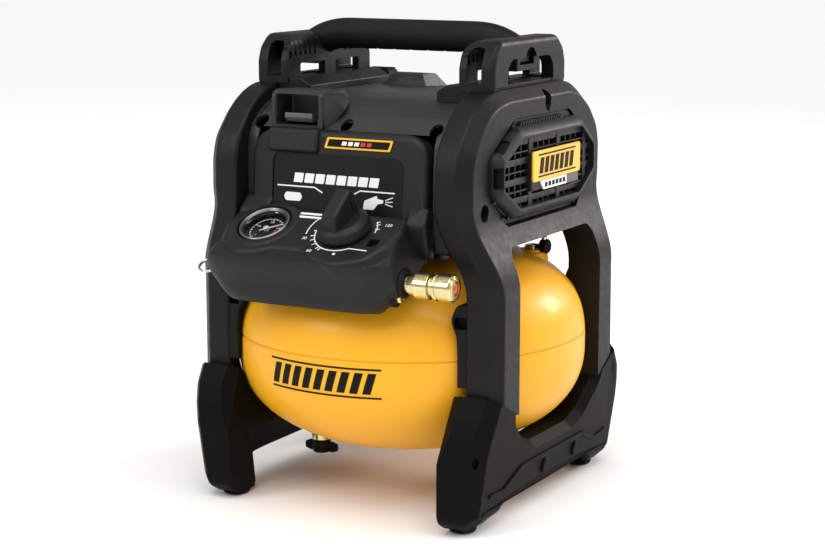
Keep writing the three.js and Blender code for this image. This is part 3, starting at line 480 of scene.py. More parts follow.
def combine(obj, operation, tools):
    for tool in tools:
        if max(torn_edges(obj.data), torn_edges(tool.data)) > 2:
            raise ValueError(f"{obj.name} or {tool.name} is torn, so {operation} would be skipped")
        modifier = obj.modifiers.new("combine", "BOOLEAN")
        modifier.operation = operation
        modifier.solver = "MANIFOLD"
        modifier.object = tool
        applied(obj)
        bpy.data.objects.remove(tool)
    return obj


def cut(obj, *tools):
    return combine(obj, "DIFFERENCE", tools)


def join(obj, *tools):
    return combine(obj, "UNION", tools)


def copied(obj, name, matrix=None):
    twin = bpy.data.objects.new(name, obj.data.copy())
    bpy.context.scene.collection.objects.link(twin)
    if matrix is not None:
        twin.data.transform(matrix)
        if matrix.determinant() < 0:
            twin.data.flip_normals()
    return twin


def merged(name, objects):
    """One object from several separate solids, which keep their own shells."""
    bm = bmesh.new()
    for obj in objects:
        bm.from_mesh(obj.data)
        bpy.data.objects.remove(obj)
    return object_of(name, bm)


def softened(obj, width, segments=2, angle=32):
    """Rounds the edges left sharp by cutting. It can tear a mesh, so what can be cut is cut first."""
    weld = obj.modifiers.new("weld", "WELD")
    weld.merge_threshold = 0.02
    modifier = obj.modifiers.new("edges", "BEVEL")
    modifier.width = width
    modifier.segments = segments
    modifier.limit_method = "ANGLE"
    modifier.angle_limit = math.radians(angle)
    modifier.use_clamp_overlap = True
    return applied(obj)


def hand_over(obj, look, body="cage", nodes=(), sharp=34):
    """Moves a finished piece to the row frame and gives it its material and body."""
    obj.data.transform(TO_ROW)
    slot_name, material = FINISHES[look]
    obj.data.materials.clear()
    obj.data.materials.append(material)
    obj.data.shade_smooth()
    obj.data.set_sharp_from_angle(angle=math.radians(sharp))
    weighted = obj.modifiers.new("normals", "WEIGHTED_NORMAL")
    weighted.keep_sharp = True
    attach(obj, body)
    if nodes:
        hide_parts(*nodes)
    return obj


def hand_over_pair(obj, base, look, nodes=True):
    """The right-hand piece and its mirror image on the left."""
    left = copied(obj, f"left_{base}", Matrix.Scale(-1, 4, (1, 0, 0)))
    obj.name = f"right_{base}"
    for piece, side in ((obj, "right"), (left, "left")):
        node = base.replace("_shell", "")
        hand_over(piece, look, nodes=[f"{side}_{node}"] if nodes else ())


def lettering(name, text, size, matrix, thick=0.25):
    """Raised numbers, centred on the matrix's origin."""
    curve = bpy.data.curves.new(name, "FONT")
    curve.body = text
    curve.size = size
    curve.extrude = thick / 2
    curve.align_x = "CENTER"
    curve.align_y = "CENTER"
    source = bpy.data.objects.new(name, curve)
    bpy.context.scene.collection.objects.link(source)
    graph = bpy.context.evaluated_depsgraph_get()
    mesh = bpy.data.meshes.new_from_object(source.evaluated_get(graph))
    bpy.data.objects.remove(source)
    mesh.transform(matrix)
    obj = bpy.data.objects.new(name, mesh)
    bpy.context.scene.collection.objects.link(obj)
    return obj


# ---------------------------------------------------------------- tank
def tank_radius(z, grow=0.0):
    upper = z >= TANK_MID
    half = (TANK_TOP if upper else TANK_LOW) + grow
    power = TOP_POWER if upper else LOW_POWER
    t = min(1.0, abs(z - TANK_MID) / half)
    return (TANK_R + grow) * (1 - t ** power) ** (1 / power)


def tank_profile(low, high, grow, count):
    """Points up the tank's outline, closer together towards the poles."""
    def place(z):
        half = (TANK_TOP if z >= TANK_MID else TANK_LOW) + grow
        return math.asin(max(-1, min(1, (z - TANK_MID) / half)))

    first, last = place(low), place(high)
    points = []
    for i in range(count + 1):
        s = first + (last - first) * i / count
        z = TANK_MID + ((TANK_TOP if s >= 0 else TANK_LOW) + grow) * math.sin(s)
        points.append((tank_radius(z, grow), z))
    return points


def tank_room(grow):
    profile = tank_profile(TANK_MID - TANK_LOW - grow, TANK_MID + TANK_TOP + grow, grow, 60)
    profile[0] = (0, profile[0][1])
    profile[-1] = (0, profile[-1][1])
    return lathe("tank_room", profile, 128)


def tank_seat(x, y):
    """Height of the tank's shoulder under a point."""
    ratio = math.hypot(x, y) / TANK_R
    return TANK_MID + TANK_TOP * (1 - ratio ** TOP_POWER) ** (1 / TOP_POWER)


def make_tank():
    top, low = TANK_MID + TANK_TOP, TANK_MID - TANK_LOW
    roll = 1.2
    upper = tank_profile(SEAM + GAP + roll, top, 0, 44)
    lower = tank_profile(low, SEAM - GAP - roll, 0, 52)
    upper[-1], lower[0] = (0, top), (0, low)
    wall = 3
    inside_up = tank_profile(SEAM + GAP, top - wall, -wall, 24)[::-1]
    inside_low = tank_profile(low + wall, SEAM - GAP, -wall, 24)[::-1]
    inside_up[0], inside_low[-1] = (0, top - wall), (0, low + wall)
    edge = tank_radius(SEAM)
    upper = [(edge - 1.5, SEAM + GAP), (edge - 0.5, SEAM + GAP + 0.25), *upper]
    lower = [*lower, (edge - 0.5, SEAM - GAP - 0.25), (edge - 1.5, SEAM - GAP)]
    shell = lathe("tank_upper", [*upper, *inside_up], 144)
    hand_over(shell, "paint", nodes=["tank_upper_shell"], sharp=60)
    shell = lathe("tank_lower", [*lower, *inside_low], 144)
    hand_over(shell, "paint", nodes=["tank_lower_shell"], sharp=60)
    backing = [(edge - 3.2, SEAM - 4), (edge - 1.2, SEAM - 4), (edge - 1.2, SEAM + 4), (edge - 3.2, SEAM + 4)]
    hand_over(lathe("tank_backing_ring", backing, 144), "paint")
    bungs = []
    for x, y in ((-40, 62), (88, 66)):
        seat = tank_seat(x, y)
        bungs.append(lathe("bung", [(5.8, seat - 6), (15, seat - 6), (13.5, seat + 1), (11.5, seat + 2.4),
            (11, seat + 4), (5.8, seat + 4)], 40, "z", (x, y, 0)))
    x, y, seat = DRAIN
    bungs.append(lathe("bung", [(5.4, seat - 6), (12, seat - 6), (14, seat - 3), (14, seat + 9),
        (5.4, seat + 9)], 40, "z", (x, y, 0)))
    hand_over(merged("tank_bungs", bungs), "paint")


def tank_patch(x0, x1, z0, z1, slant=0.0):
    """A thin patch that lies on the tank's front; x is measured round the tank from -Y."""
    sunk, proud = -0.3, 0.35
    columns = max(2, math.ceil(abs(x1 - x0) / 3))
    rows = max(1, math.ceil((z1 - z0) / 4))
    bm = bmesh.new()
    layers = []
    for out in (sunk, proud):
        grid = []
        for j in range(rows + 1):
            z = z0 + (z1 - z0) * j / rows
            shift = slant * (z - z0)
            line = []
            for i in range(columns + 1):
                t = (x0 + (x1 - x0) * i / columns + shift) / TANK_R
                r = tank_radius(z) + out
                line.append(bm.verts.new((r * math.sin(t), -r * math.cos(t), z)))
            grid.append(line)
        layers.append(grid)
    back, front = layers
    for j in range(rows):
        for i in range(columns):
            for grid in layers:
                bm.faces.new((grid[j][i], grid[j][i + 1], grid[j + 1][i + 1], grid[j + 1][i]))
    rim = [(0, i) for i in range(columns)] + [(j, columns) for j in range(rows)]
    rim += [(rows, i) for i in range(columns, 0, -1)] + [(j, 0) for j in range(rows, 0, -1)]
    for (j, i), (n, m) in zip(rim, rim[1:] + rim[:1]):
        bm.faces.new((back[j][i], back[n][m], front[n][m], front[j][i]))
    return object_of("patch", bm)


def make_tank_graphic():
    """Two rules with a row of slanted bars between them."""
    left, right, low, high = -56, 54, 111, 137
    strips = [tank_patch(left, right, low, low + 1.5), tank_patch(left, right, high - 1.5, high)]
    bars = 9
    pitch = (right - left - 6) / bars
    for i in range(bars):
        x = left + 1 + i * pitch
        strips.append(tank_patch(x, x + pitch * 0.62, low + 4, high - 4, 0.3))
    hand_over(merged("tank_graphic", strips), "ink")


# ---------------------------------------------------------------- cage
# The arch and legs at their widest, as (y, z), from the boot up to the crown.
FRONT_EDGE = [(-120, 60), (-120, 196, 60), (-123, 216, 50), (-131, 246, 60), (-136.6, 272, 50),
    (-136, 302, 50), (-130, 323, 40), (-108, 347, 50), (-92, 356.5, 50), (-78, 361, 50), (-58, 363.5),]
REAR_EDGE = [(-58, 363.5), (-78, 360.5, 50), (-92, 354, 50), (-108, 344.5, 50), (-127, 324, 40),
    (-132.6, 304, 50), (-132, 274, 50), (-127, 247, 60), (-120, 218, 50), (-118, 196, 60), (-120, 60),]
WINDOW = [(-81.5, 40), (-81.5, 228, 7), (-76, 235.5, 7)]
VENT_HOLE = [(-97, 271, 5), (-68, 251, 6), (68, 251, 6), (97, 271, 5), (97, 311, 5), (58, 339, 8),
    (-52, 339, 8), (-97, 311, 5)]


def leaning(obj):
    """Spreads the legs outwards below the arch, with a smooth bend."""
    bm = bmesh.new()
    bm.from_mesh(obj.data)
    for z in range(LEAN_LOW, LEAN_HIGH + 1, 6):
        everything = bm.verts[:] + bm.edges[:] + bm.faces[:]
        bmesh.ops.bisect_plane(bm, geom=everything, plane_co=(0, 0, z), plane_no=(0, 0, 1))
    for vertex in bm.verts:
        t = min(1, max(0, (vertex.co.z - LEAN_LOW) / (LEAN_HIGH - LEAN_LOW)))
        vertex.co.x += LEAN * (1 - t * t * (3 - 2 * t))
    bm.to_mesh(obj.data)
    bm.free()
    return obj


def below_seam(raised):
    """The outline below the seam between leg and boot, which falls towards the side window."""
    return mirrored_points([(-220, -40), (-220, 118 + raised), (-127, 118 + raised), (-80, 94.5 + raised)])


def side_frame():
    outer = rounded([*FRONT_EDGE, *[(-a, *rest) for a, *rest in REAR_EDGE]], 0, 8)
    body = prism("side_frame", "x", outer, FRAME_IN, FRAME_OUT, soft(3), chamfer(10.2, 10.2, 4))
    window = prism("window", "x", rounded(mirrored_points(WINDOW), 0), 60, 220)
    vent = prism("vent", "x", rounded(VENT_HOLE, 0), 60, 220)
    below = prism("below", "x", below_seam(0.35), 60, 220)
    hump = box("hump", 0, HUMP_OUT + GAP, -HUMP_HALF - 0.5, HUMP_HALF + 0.5, HUMP_BASE - 0.2, 400)
    cut(body, window, vent, below, hump)
    softened(body, 1.2, 3, 38)
    leaning(body)
    screw = prism("screw", "x",
        rounded([(8, 345), (9, 356), (14, 360), (19.5, 356), (19.5, 345), (14, 338.5)], 5), 119, 140)
    bolt = prism("bolt", "x", rounded([(-112, 261), (-113, 268), (-107, 275), (-99, 272), (-97.5, 266),
        (-104, 259)], 5), 120.5, 150)
    return cut(body, screw, bolt, tank_room(1.0))


RAIL_LOW = [(-104, 6), (-99, 11, 5), (-90, 18, 6), (-72, 25, 8), (-46, 26, 10)]


def boot_lean(obj):
    """The boots lean in towards the floor."""
    for vertex in obj.data.vertices:
        vertex.co.x -= 0.15 * max(0, 100 - vertex.co.z)
    return obj


def base_rail():
    front = [(-129, 3.5, 6), (-143.6, 12, 14), (-143.6, 66, 30), (-141, 84, 30), (-135, 101, 30),
        (-123, 123), (-123, 160)]
    outer = rounded([*front, *[(-a, *rest) for a, *rest in front[::-1]]], 0, 8)
    side = 149
    body = prism("base_rail", "x", outer, 96, side, soft(3), chamfer(11, 10, 4))
    above = cut(box("above", 60, 220, -200, 200, 60, 200), prism("below", "x", below_seam(0), 50, 230))
    arch = prism("arch", "x", rounded([(-104, -20), *RAIL_LOW, *[(-a, *r) for a, *r in RAIL_LOW[::-1]],
        (104, -20)], 0), 60, 220)
    # The side window's rim widens outwards in a broad bevel.
    sill = rounded([(-82, 150), (-82, 93, 14), (-56, 70, 14), (-36, 62, 12), (36, 62, 12), (56, 70, 14),
        (82, 93, 14), (82, 150)], 0)
    window = prism("window", "x", sill, 60, side + 2, SHARP, [(-8, 0), (-7, 2), (0, 10)])
    hollow = prism("hollow", "z", rounded([(60, -130), (109, -130, 3), (109, -110, 10), (136, -84, 12),
        (136, 84, 12), (109, 110, 10), (109, 130, 3), (60, 130)], 0), -10, 58)
    wedge = hull("wedge", [(102, -144.5, 58), (128, -134, 124), (128, -160, 124), (102, -112, 124),
        (90, -112, 124), (90, -160, 124), (90, -144.5, 58)])
    rear_wedge = copied(wedge, "rear_wedge", Matrix.Scale(-1, 4, (0, 1, 0)))
    cut(body, above, arch, window, hollow)
    rib = prism("rib", "x", rounded([(-119, 31), (-94, 29), (-60, 43), (62, 43), (92, 31), (117, 34),
        (117, 38), (94, 35.5), (64, 47.5), (-62, 47.5), (-94, 33.5), (-119, 35)], 3), side - 4,
        side + 1.6, SHARP, soft(1.2, 2))
    bosses = [rod("boss", "x", 7, side - 8, side + 2.4, (0, y, 33.5), 1.5, 32) for y in (-12, 51)]
    join(body, rib, *bosses)
    boot_lean(body)
    inner = [(60, -20), (103, -20), (103, 66, 30), (105, 90, 30), (109.5, 150), (60, 150)]
    inner = prism("inner", "y", rounded(inner, 0), -200, 200)
    cut(body, inner, wedge, rear_wedge)
    pads = [rod("pad_room", "z", 8.4, -10, 13, (FOOT_X, y, 0)) for y in (-FOOT_Y, FOOT_Y)]
    dimple = lathe("dimple", [(0, -3), (2.2, -3), (3.4, 4), (0, 4)], 24)
    dimple.data.transform(Matrix.Translation((136, -139, 66)) @ Matrix.Rotation(math.radians(45), 4,
        "Z") @ Matrix.Rotation(math.radians(90), 4, "X") @ Matrix.Scale(1.7, 4, (0, 1, 0)))
    cut(body, tank_room(1.0), *pads, dimple)
    return softened(body, 1.0, 2, 38)


def make_cage():
    hand_over_pair(side_frame(), "side_frame", "cage")
    # The boots take the cage plastic with painted shade.
    hand_over_pair(base_rail(), "base_rail", "boot")
    for name, x, y in (("front_right", 1, -1), ("front_left", -1, -1), ("rear_right", 1, 1),
                       ("rear_left", -1, 1)):
        pad = lathe(f"rubber_foot_{name}", [(0, 0), (9.4, 0), (11.2, 0.8), (12, 2.4), (12, 3.2), (8, 3.6),
            (8, 12), (0, 12)], 48, "z", (FOOT_X * x, FOOT_Y * y, 0))
        grooves = [lathe("groove", [(r, -1), (r + 1.4, -1), (r + 1.4, 0.7), (r, 0.7)], 48, "z",
            (FOOT_X * x, FOOT_Y * y, 0)) for r in (3, 6.2)]
        hand_over(cut(pad, *grooves), "rubber", nodes=[f"foot_{name}"])
        hand_over(tank_mount(name, x, y), "rubber", nodes=[f"tank_mount_{name}"])


def tank_mount(name, x, y):
    """Rubber strip down a leg's inner side; its round tab holds the tank's shoulder."""
    outline = [(118, 122), (118, 163), (118, 192, 2), (108, 192, 9), (102, 178, 11), (107.5, 165, 9),
        (108.5, 150, 9), (108.5, 122)]
    tab = prism(f"mount_{name}", "y", rounded(outline, 0), -119, -104, soft(1.5, 2), soft(1.5, 2))
    slot = box("slot", 106, 125, -130, -110, 171.5, 181.5, 2)
    if y > 0:
        teeth = [prism("tooth", "y", [(104, z), (112, z), (112, z + 4)], -130, -90) for z in range(126,
            190, 8)]
        cut(tab, *teeth)
    cut(tab, slot, tank_room(0.8))
    tab.data.transform(Matrix.Scale(x, 4, (1, 0, 0)) @ Matrix.Scale(-y, 4, (0, 1, 0)))
    if x * -y < 0:
        tab.data.flip_normals()
    return tab


# ---------------------------------------------------------------- handle
def hump_edge():
    half = [(-HUMP_HALF, HUMP_BASE), (-HUMP_HALF, 381, 14), (-66.5, 393, 14), (-54, HUMP_TOP, 16)]
    return anticlockwise(rounded(mirrored_points(half), 0, 8))


def handle_bracket():
    """A tunnel of two walls under a crown, open to the front and rear, with windows through it."""
    section = rounded([(HUMP_IN, HUMP_BASE), (HUMP_IN, HUMP_TOP, 17), (HUMP_OUT, HUMP_TOP, 7),
        (HUMP_OUT, HUMP_BASE)], 0, 9)
    tunnel = prism("bracket", "y", section, -80, 80)
    outline = prism("outline", "x", hump_edge(), HUMP_IN - 1, HUMP_OUT, soft(3, 3), soft(4.5, 4))
    combine(tunnel, "INTERSECT", [outline])
    room = prism("room", "y", rounded([(91, 368), (91, HUMP_TOP - 6, 10), (105, HUMP_TOP - 6, 5),
        (105, 368)], 1.5), -90, 90)
    side = [(-45, 364.5, 4), (-44, 380, 8), (-36, 387, 8)]
    window = prism("window", "x", rounded(mirrored_points(side), 0), 98, 140)
    sights = [box("sight", 80, 98, *sorted((s * 9, s * 50)), HUMP_BASE + 4.5, 378, 2, "x") for s in (-1, 1)]
    socket = box("socket", HUMP_IN + 2, HUMP_OUT - 4, -19, 19, 375.5, 400, 1.5)
    cut(tunnel, room, window, *sights)
    shelf = prism("shelf", "y", rounded([(62, 340), (62, 360.5, 2), (72, 366.6, 3), (HUMP_OUT - 1, 366.6),
        (HUMP_OUT - 1, HUMP_BASE), (95, HUMP_BASE), (95, 340)], 0), -69, 69, soft(1.2), soft(1.2))
    arch = [(a, b + 0.4, *r) for a, b, *r in mirrored_points(ARCH)]
    cut(shelf, prism("shroud_room", "x", rounded([*arch, (112, 300), (-112, 300)], 0, 8), 0, 130))
    join(tunnel, socket, shelf)
    slots = []
    for i in range(6):
        for way in (-1, 1):
            y = way * (26 + i * 8)
            low = 385 if i < 5 else 383
            slots.append(box("slot", HUMP_IN - 3, HUMP_IN + 11, y - 1.6, y + 1.6, low, 398.5, 1.2))
    cut(tunnel, *slots)
    cut(tunnel, handle_bar("handle_room", 13.8, 200))
    return softened(tunnel, 0.6, 2, 38)


def handle_route(reach, count=33):
    """The handle's centre line: level in the middle, bending down into both brackets."""
    level, straight = 402.5, 62
    route = []
    for i in range(count):
        x = -reach + 2 * reach * i / (count - 1)
        t = max(0, (abs(x) - straight) / 42)
        route.append(Vector((x, 0, level - 10 * t ** 2 - 4 * t ** 4)))
    return route


def handle_bar(name, radius, reach):
    sides = 32
    route = handle_route(min(reach, 112))
    ring = [(radius * math.cos(2 * math.pi * k / sides),
        radius * math.sin(2 * math.pi * k / sides)) for k in range(sides)]
    return swept(name, route, lambda i: ring)


def handle_grip():
    """Overmoulded grip, with shallow finger notches below."""
    route = handle_route(106, 161)

    def ring(i):
        x = abs(route[i].x)
        notch = max(0, math.cos(route[i].x * 2 * math.pi / 17)) ** 14 * (x < 60)
        points = []
        for k in range(40):
            t = 2 * math.pi * k / 40
            below = max(0, -math.sin(t))
            r = 13.5 - 1.2 * below ** 2 * notch
            points.append((0.97 * r * math.cos(t), r * math.sin(t)))
        return points

    grip = swept("grip", route, ring)
    lines = [box("line", 72, 98, s * 5 - 0.4, s * 5 + 0.4, 405, 430) for s in (-1, 1)]
    for line in lines:
        cut(line, handle_bar("inside", 12.6, 200))
    return cut(grip, *lines, handle_bar("core_room", 9.9, 200))


def make_handle():
    hand_over_pair(handle_bracket(), "handle_bracket", "cage")
    core = handle_bar("handle_core", 9.5, 109.6)
    ends = [box("end", s * 109.6 if s > 0 else -200, 200 if s > 0 else -109.6, -50, 50, 300,
        450) for s in (-1, 1)]
    hand_over(cut(core, *ends), "cage", nodes=["carry_handle"])
    hand_over(handle_grip(), "rubber", nodes=["handle_grip"])


# ---------------------------------------------------------------- housing
ARCH = [(-112, 328.4), (-98, 340, 30), (-82, 348, 40), (-64, 353, 40), (-40, SHROUD_TOP, 60)]


def arch_slab(name, x0, x1, drop, wall, edge=SHARP):
    """A bent sheet under the arch, between two widths."""
    outer = [(a, b - drop, *r) for a, b, *r in mirrored_points(ARCH)]
    inner = [(a * (1 - wall * 0.7 / 112), b - drop - wall, *r) for a, b, *r in mirrored_points(ARCH)]
    inner[0] = (inner[0][0], outer[0][1])
    inner[-1] = (inner[-1][0], outer[-1][1])
    return prism(name, "x", rounded([*outer, *inner[::-1]], 0, 8), x0, x1, edge, edge)


def top_shroud():
    half = SHROUD_HALF
    shell = arch_slab("top_shroud_shell", -half, half, 0, 3)
    beads = [arch_slab("bead", *sorted((s * (half - 3), s * half)), -1.0, 3.2) for s in (-1, 1)]
    bead_room = box("bead_room", -120, 120, -69.5, 69.5, 340, 400)
    for bead in beads:
        cut(bead, copied(bead_room, "bead_room"))
    bpy.data.objects.remove(bead_room)
    x0, x1, front = -72.5, -21.5, -115.5
    side = [(front, 328.5, 1), (front, 357, 5), (front + 6, 360.4, 3), (-78, 359.5, 3), (-71, 354),
        (-71, 346), (-90, 336), (-104, 328.5)]
    housing = prism("housing", "x", rounded(side, 0), x0, x1, soft(2), soft(2))
    shoulder = hull("shoulder", [(x1 - 4, front, 329), (x1 - 4, front, 357), (x1 - 4, front + 5, 360),
        (x1 - 4, -78, 358.5), (x1 + 7, front + 6, 354), (x1 + 13, front + 16, 345),
        (x1 + 4, front + 8, 330), (x1 + 6, -80, 350), (x1 - 4, -96, 330)])
    pocket = box("pocket", x0 + 4.5, x1 - 4.5, front - 6, front + 26, 331, 357, 2.5, "y")
    sill = box("sill", x0 + 3, x1 - 3, front - 6, front + 2, 336, 358.4, 3, "y")
    bump = prism("bump", "x", rounded([(31, 350), (37, 366.6, 5), (60, 364.4, 6), (86, 338)], 0), -52, -1,
        soft(1), soft(1))
    sides = prism("sides", "y", rounded([(-51, 330), (-49.5, 354), (-38, 366.8, 5), (-10, 366.8, 5),
        (-3, 354), (-2, 330)], 0), 20, 92)
    combine(bump, "INTERSECT", [sides])
    strip = [(-111, 330), (-116, 320, 10), (-118, 300, 20), (-118, 262, 14), (-114, 233), (-109, 232),
        (-113, 262, 14), (-113, 300, 14), (-111, 318), (-107, 330)]
    sides = [prism("strip", "x", rounded(strip, 0), *sorted((s * 86, s * half))) for s in (-1, 1)]
    button_room = box("button_room", -93.5, -65.5, 73.5, 92.5, 330, 390, 2)
    panel_corner = box("panel_corner", -98.5, -85, -130, -100, 200, 264)
    join(shell, *beads, housing, shoulder, bump, *sides)
    cut(shell, pocket, sill, button_room, panel_corner)
    # Oval screw recesses down the front slope.
    for x, y, z in ((-2.5, -111, 336.5), (83, -108, 333), (-87, -108, 333)):
        well = lathe("well", [(0, -9), (5.2, -9), (7.0, 14), (0, 14)], 28)
        well.data.transform(Matrix.Translation((x, y, z)) @ Matrix.Rotation(math.radians(46), 4,
            "X") @ Matrix.Scale(1.35, 4, (0, 1, 0)))
        cut(shell, well)
    return softened(shell, 0.7, 2, 38)


def release_button():
    body = box("release_button_cap", -93, -66, 74, 92, 336, 364, 1.6)
    teeth = [prism("tooth", "x",
        rounded([(76 + i * 4, 362), (76.6 + i * 4, 366, 0.6), (78 + i * 4, 366, 0.6),
        (79.4 + i * 4, 362)], 0), -91, -68) for i in range(4)]
    return join(body, *teeth)


def power_rocker():
    front, low = -114.5, 328.6
    shape = [(front + 5, low + 4.8), (front + 13, low + 4.8), (front + 17, low + 8.5),
        (front + 10, low + 10.5, 4), (front + 2.5, low + 12.8, 1), (front + 2, low + 8.5, 3)]
    return prism("rocker", "x", rounded(shape, 0.8), -61, -33.5, soft(0.8, 2), soft(0.8, 2))


def rear_shroud():
    wall = [(112, 327.8), (118.6, 316, 14), (121, 300, 20), (121, 262, 20), (116, 240, 14), (108, 226),
        (104, 226), (112, 241, 14), (117, 262, 14), (117, 300, 14), (114, 316), (108.6, 327.8)]
    shell = prism("rear_cover", "x", rounded(wall, 0, 8), -SHROUD_HALF, SHROUD_HALF)
    extra = [box("dock", -50, 50, 117, 124, 242, 318, 3, "y")]
    for s in (-1, 1):
        extra.append(box("rail", s * 38 - 4, s * 38 + 4, 121, 131, 248, 312, 1))
        extra.append(box("lip", s * 36 - 8, s * 36 + 8, 128.4, 133, 248, 312, 1))
    for i in range(4):
        for x in (60, -88):
            extra.append(box("rib", x, x + 28, 118, 122.2, 262 + i * 12, 265 + i * 12, 1))
    join(shell, *extra)
    slots = [box("slot", -14, 14, 100, 128, 254 + i * 9, 258 + i * 9, 1.5, "y") for i in range(3)]
    cut(shell, *slots, box("room", -17, 17, 100, 128, 284, 302, 1, "y"))
    return shell


def terminal_block():
    base = box("terminals", -16, 16, 112, 123, 285, 301, 1)
    blades = [box("blade", x - 0.8, x + 0.8, 121, 131, 288, 298, 0.4) for x in (-10, -3.3, 3.3, 10)]
    return base, merged("terminal_blades", blades)


def make_housing():
    # The top shroud takes the panel plastic with painted light from above.
    hand_over(top_shroud(), "shroud", nodes=["top_shroud"])
    hand_over(release_button(), "rubber", "release_button", ["release_button"])
    hand_over(power_rocker(), "rocker", "power_rocker", ["power_rocker"])
    hand_over(rear_shroud(), "panel", nodes=["rear_shroud"])
    base, blades = terminal_block()
    hand_over(base, "label", nodes=["terminal_block"])
    hand_over(blades, "brass")


# ---------------------------------------------------------------- control panel
def on_slope(x, out=0.0, turn=0.0, up=0.0):
    """Local (right, up the slope, outwards) on the control surface."""
    return (Matrix.Translation(SLOPE_AT + Vector((x, 0, 0))) @ Matrix.Rotation(SLOPE, 4,
        "X") @ Matrix.Translation((0, up, out)) @ Matrix.Rotation(turn, 4, "Z"))


def stepped(steps, z):
    """The value at a height, from a list of heights and values."""
    for (low, a), (high, b) in zip(steps, steps[1:]):
        if z <= high:
            return a + (b - a) * (z - low) / (high - low)
    return steps[-1][1]


def chin_left(z):
    """How far the chin's left front corner reaches at a height."""
    return stepped([(186, -83.9), (191, -88.8), (196, -93.2), (202, -97.6), (207, -101.8),
        (212.6, -104.6), (218.6, -105), (224.8, -103), (232.6, -96.8), (240.8, -91.5), (248, -89)], z)


def chin_ring(z):
    """The chin's plan at a height: round front corners, walls leaning in towards the bottom."""
    left = chin_left(z)
    right = 76 - max(0, 205 - z) * 0.95 - max(0, z - 224) ** 2 / 80
    front = stepped([(186, -165), (187, -168.5), (190, -171), (194, -172), (205, -174), (213, -177),
        (220, -180.5), (225, -182), (229, -181.5), (233, -179), (237, -175), (242, -168), (248, -156)], z)
    back = max(left + 0.6, -98.5)
    corners = [(back, -114, 0), (back, -146, 3), (left, -150, 3), (left, front, 38), (right, front, 30),
        (right, -132, 6), (right + 2, -114, 0)]
    ring = []
    for i, (a, b, reach) in enumerate(corners):
        here = Vector((a, b))
        if not reach:
            ring.append(here)
            continue
        ends = [Vector(corners[i + way][:2]) - here for way in (-1, 1)]
        start, stop = [here + end.normalized() * min(reach, end.length * CORNER_SHARE) for end in ends]
        for k in range(13):
            t = k / 12
            ring.append(start * (1 - t) ** 2 + here * (2 * t * (1 - t)) + stop * t * t)
    return ring


def chin():
    heights = [186, 186.6, 187.5, 189, 191, 194, 198, 202, 206, 210, 214, 218, 222, 226, 229, 232, 235,
        238, 242, 248]
    rings = [[(p.x, p.y, z) for p in chin_ring(z)] for z in heights]
    body = stacked("control_panel_body", rings)
    # The underside rises towards the rear, clear of the tank's shoulder.
    under = prism("under", "x", rounded([(-100, 150), (-157, 150), (-152, 190, 20), (-122, 222, 10),
        (-100, 226)], 0), -200, 200)
    return cut(body, under)


def slope_plateau():
    """The raised control surface, with a lobe round the gauge and one round the knob."""
    points = [(-94, 26, 8), (-97, -4, 20), (-90, -28, 24), (-68, -40, 22), (-47, -37, 14), (-34, -30, 8),
        (-8, -30, 10), (2, -37, 14), (28, -45, 26), (55, -37, 26), (68, -14, 22), (71, 8, 14),
        (67, 26, 6)]
    slab = prism("plateau", "z", rounded(points, 0, 8), -12, 0, SHARP, soft(5, 4))
    slab.data.transform(on_slope(0))
    return slab


def upper_face():
    """The label's face: round top corners, leaning back a little towards the top."""
    outline = [(-89, 236), (-89, 328.2, 26), (83, 328.2, 26), (83, 236)]
    face = prism("face", "y", rounded(outline, 0, 7.5), -126, -112, soft(5, 4), SHARP)
    recess = prism("recess", "y",
        rounded([(-67, 236), (-67, 309, 10), (61, 309, 10), (61, 285, 10), (68, 262), (68, 236)], 0),
        -140, -124.4)
    for part in (face, recess):
        for vertex in part.data.vertices:
            vertex.co.y += LABEL_LEAN * max(0, vertex.co.z - LABEL_BEND)
    return cut(face, recess)


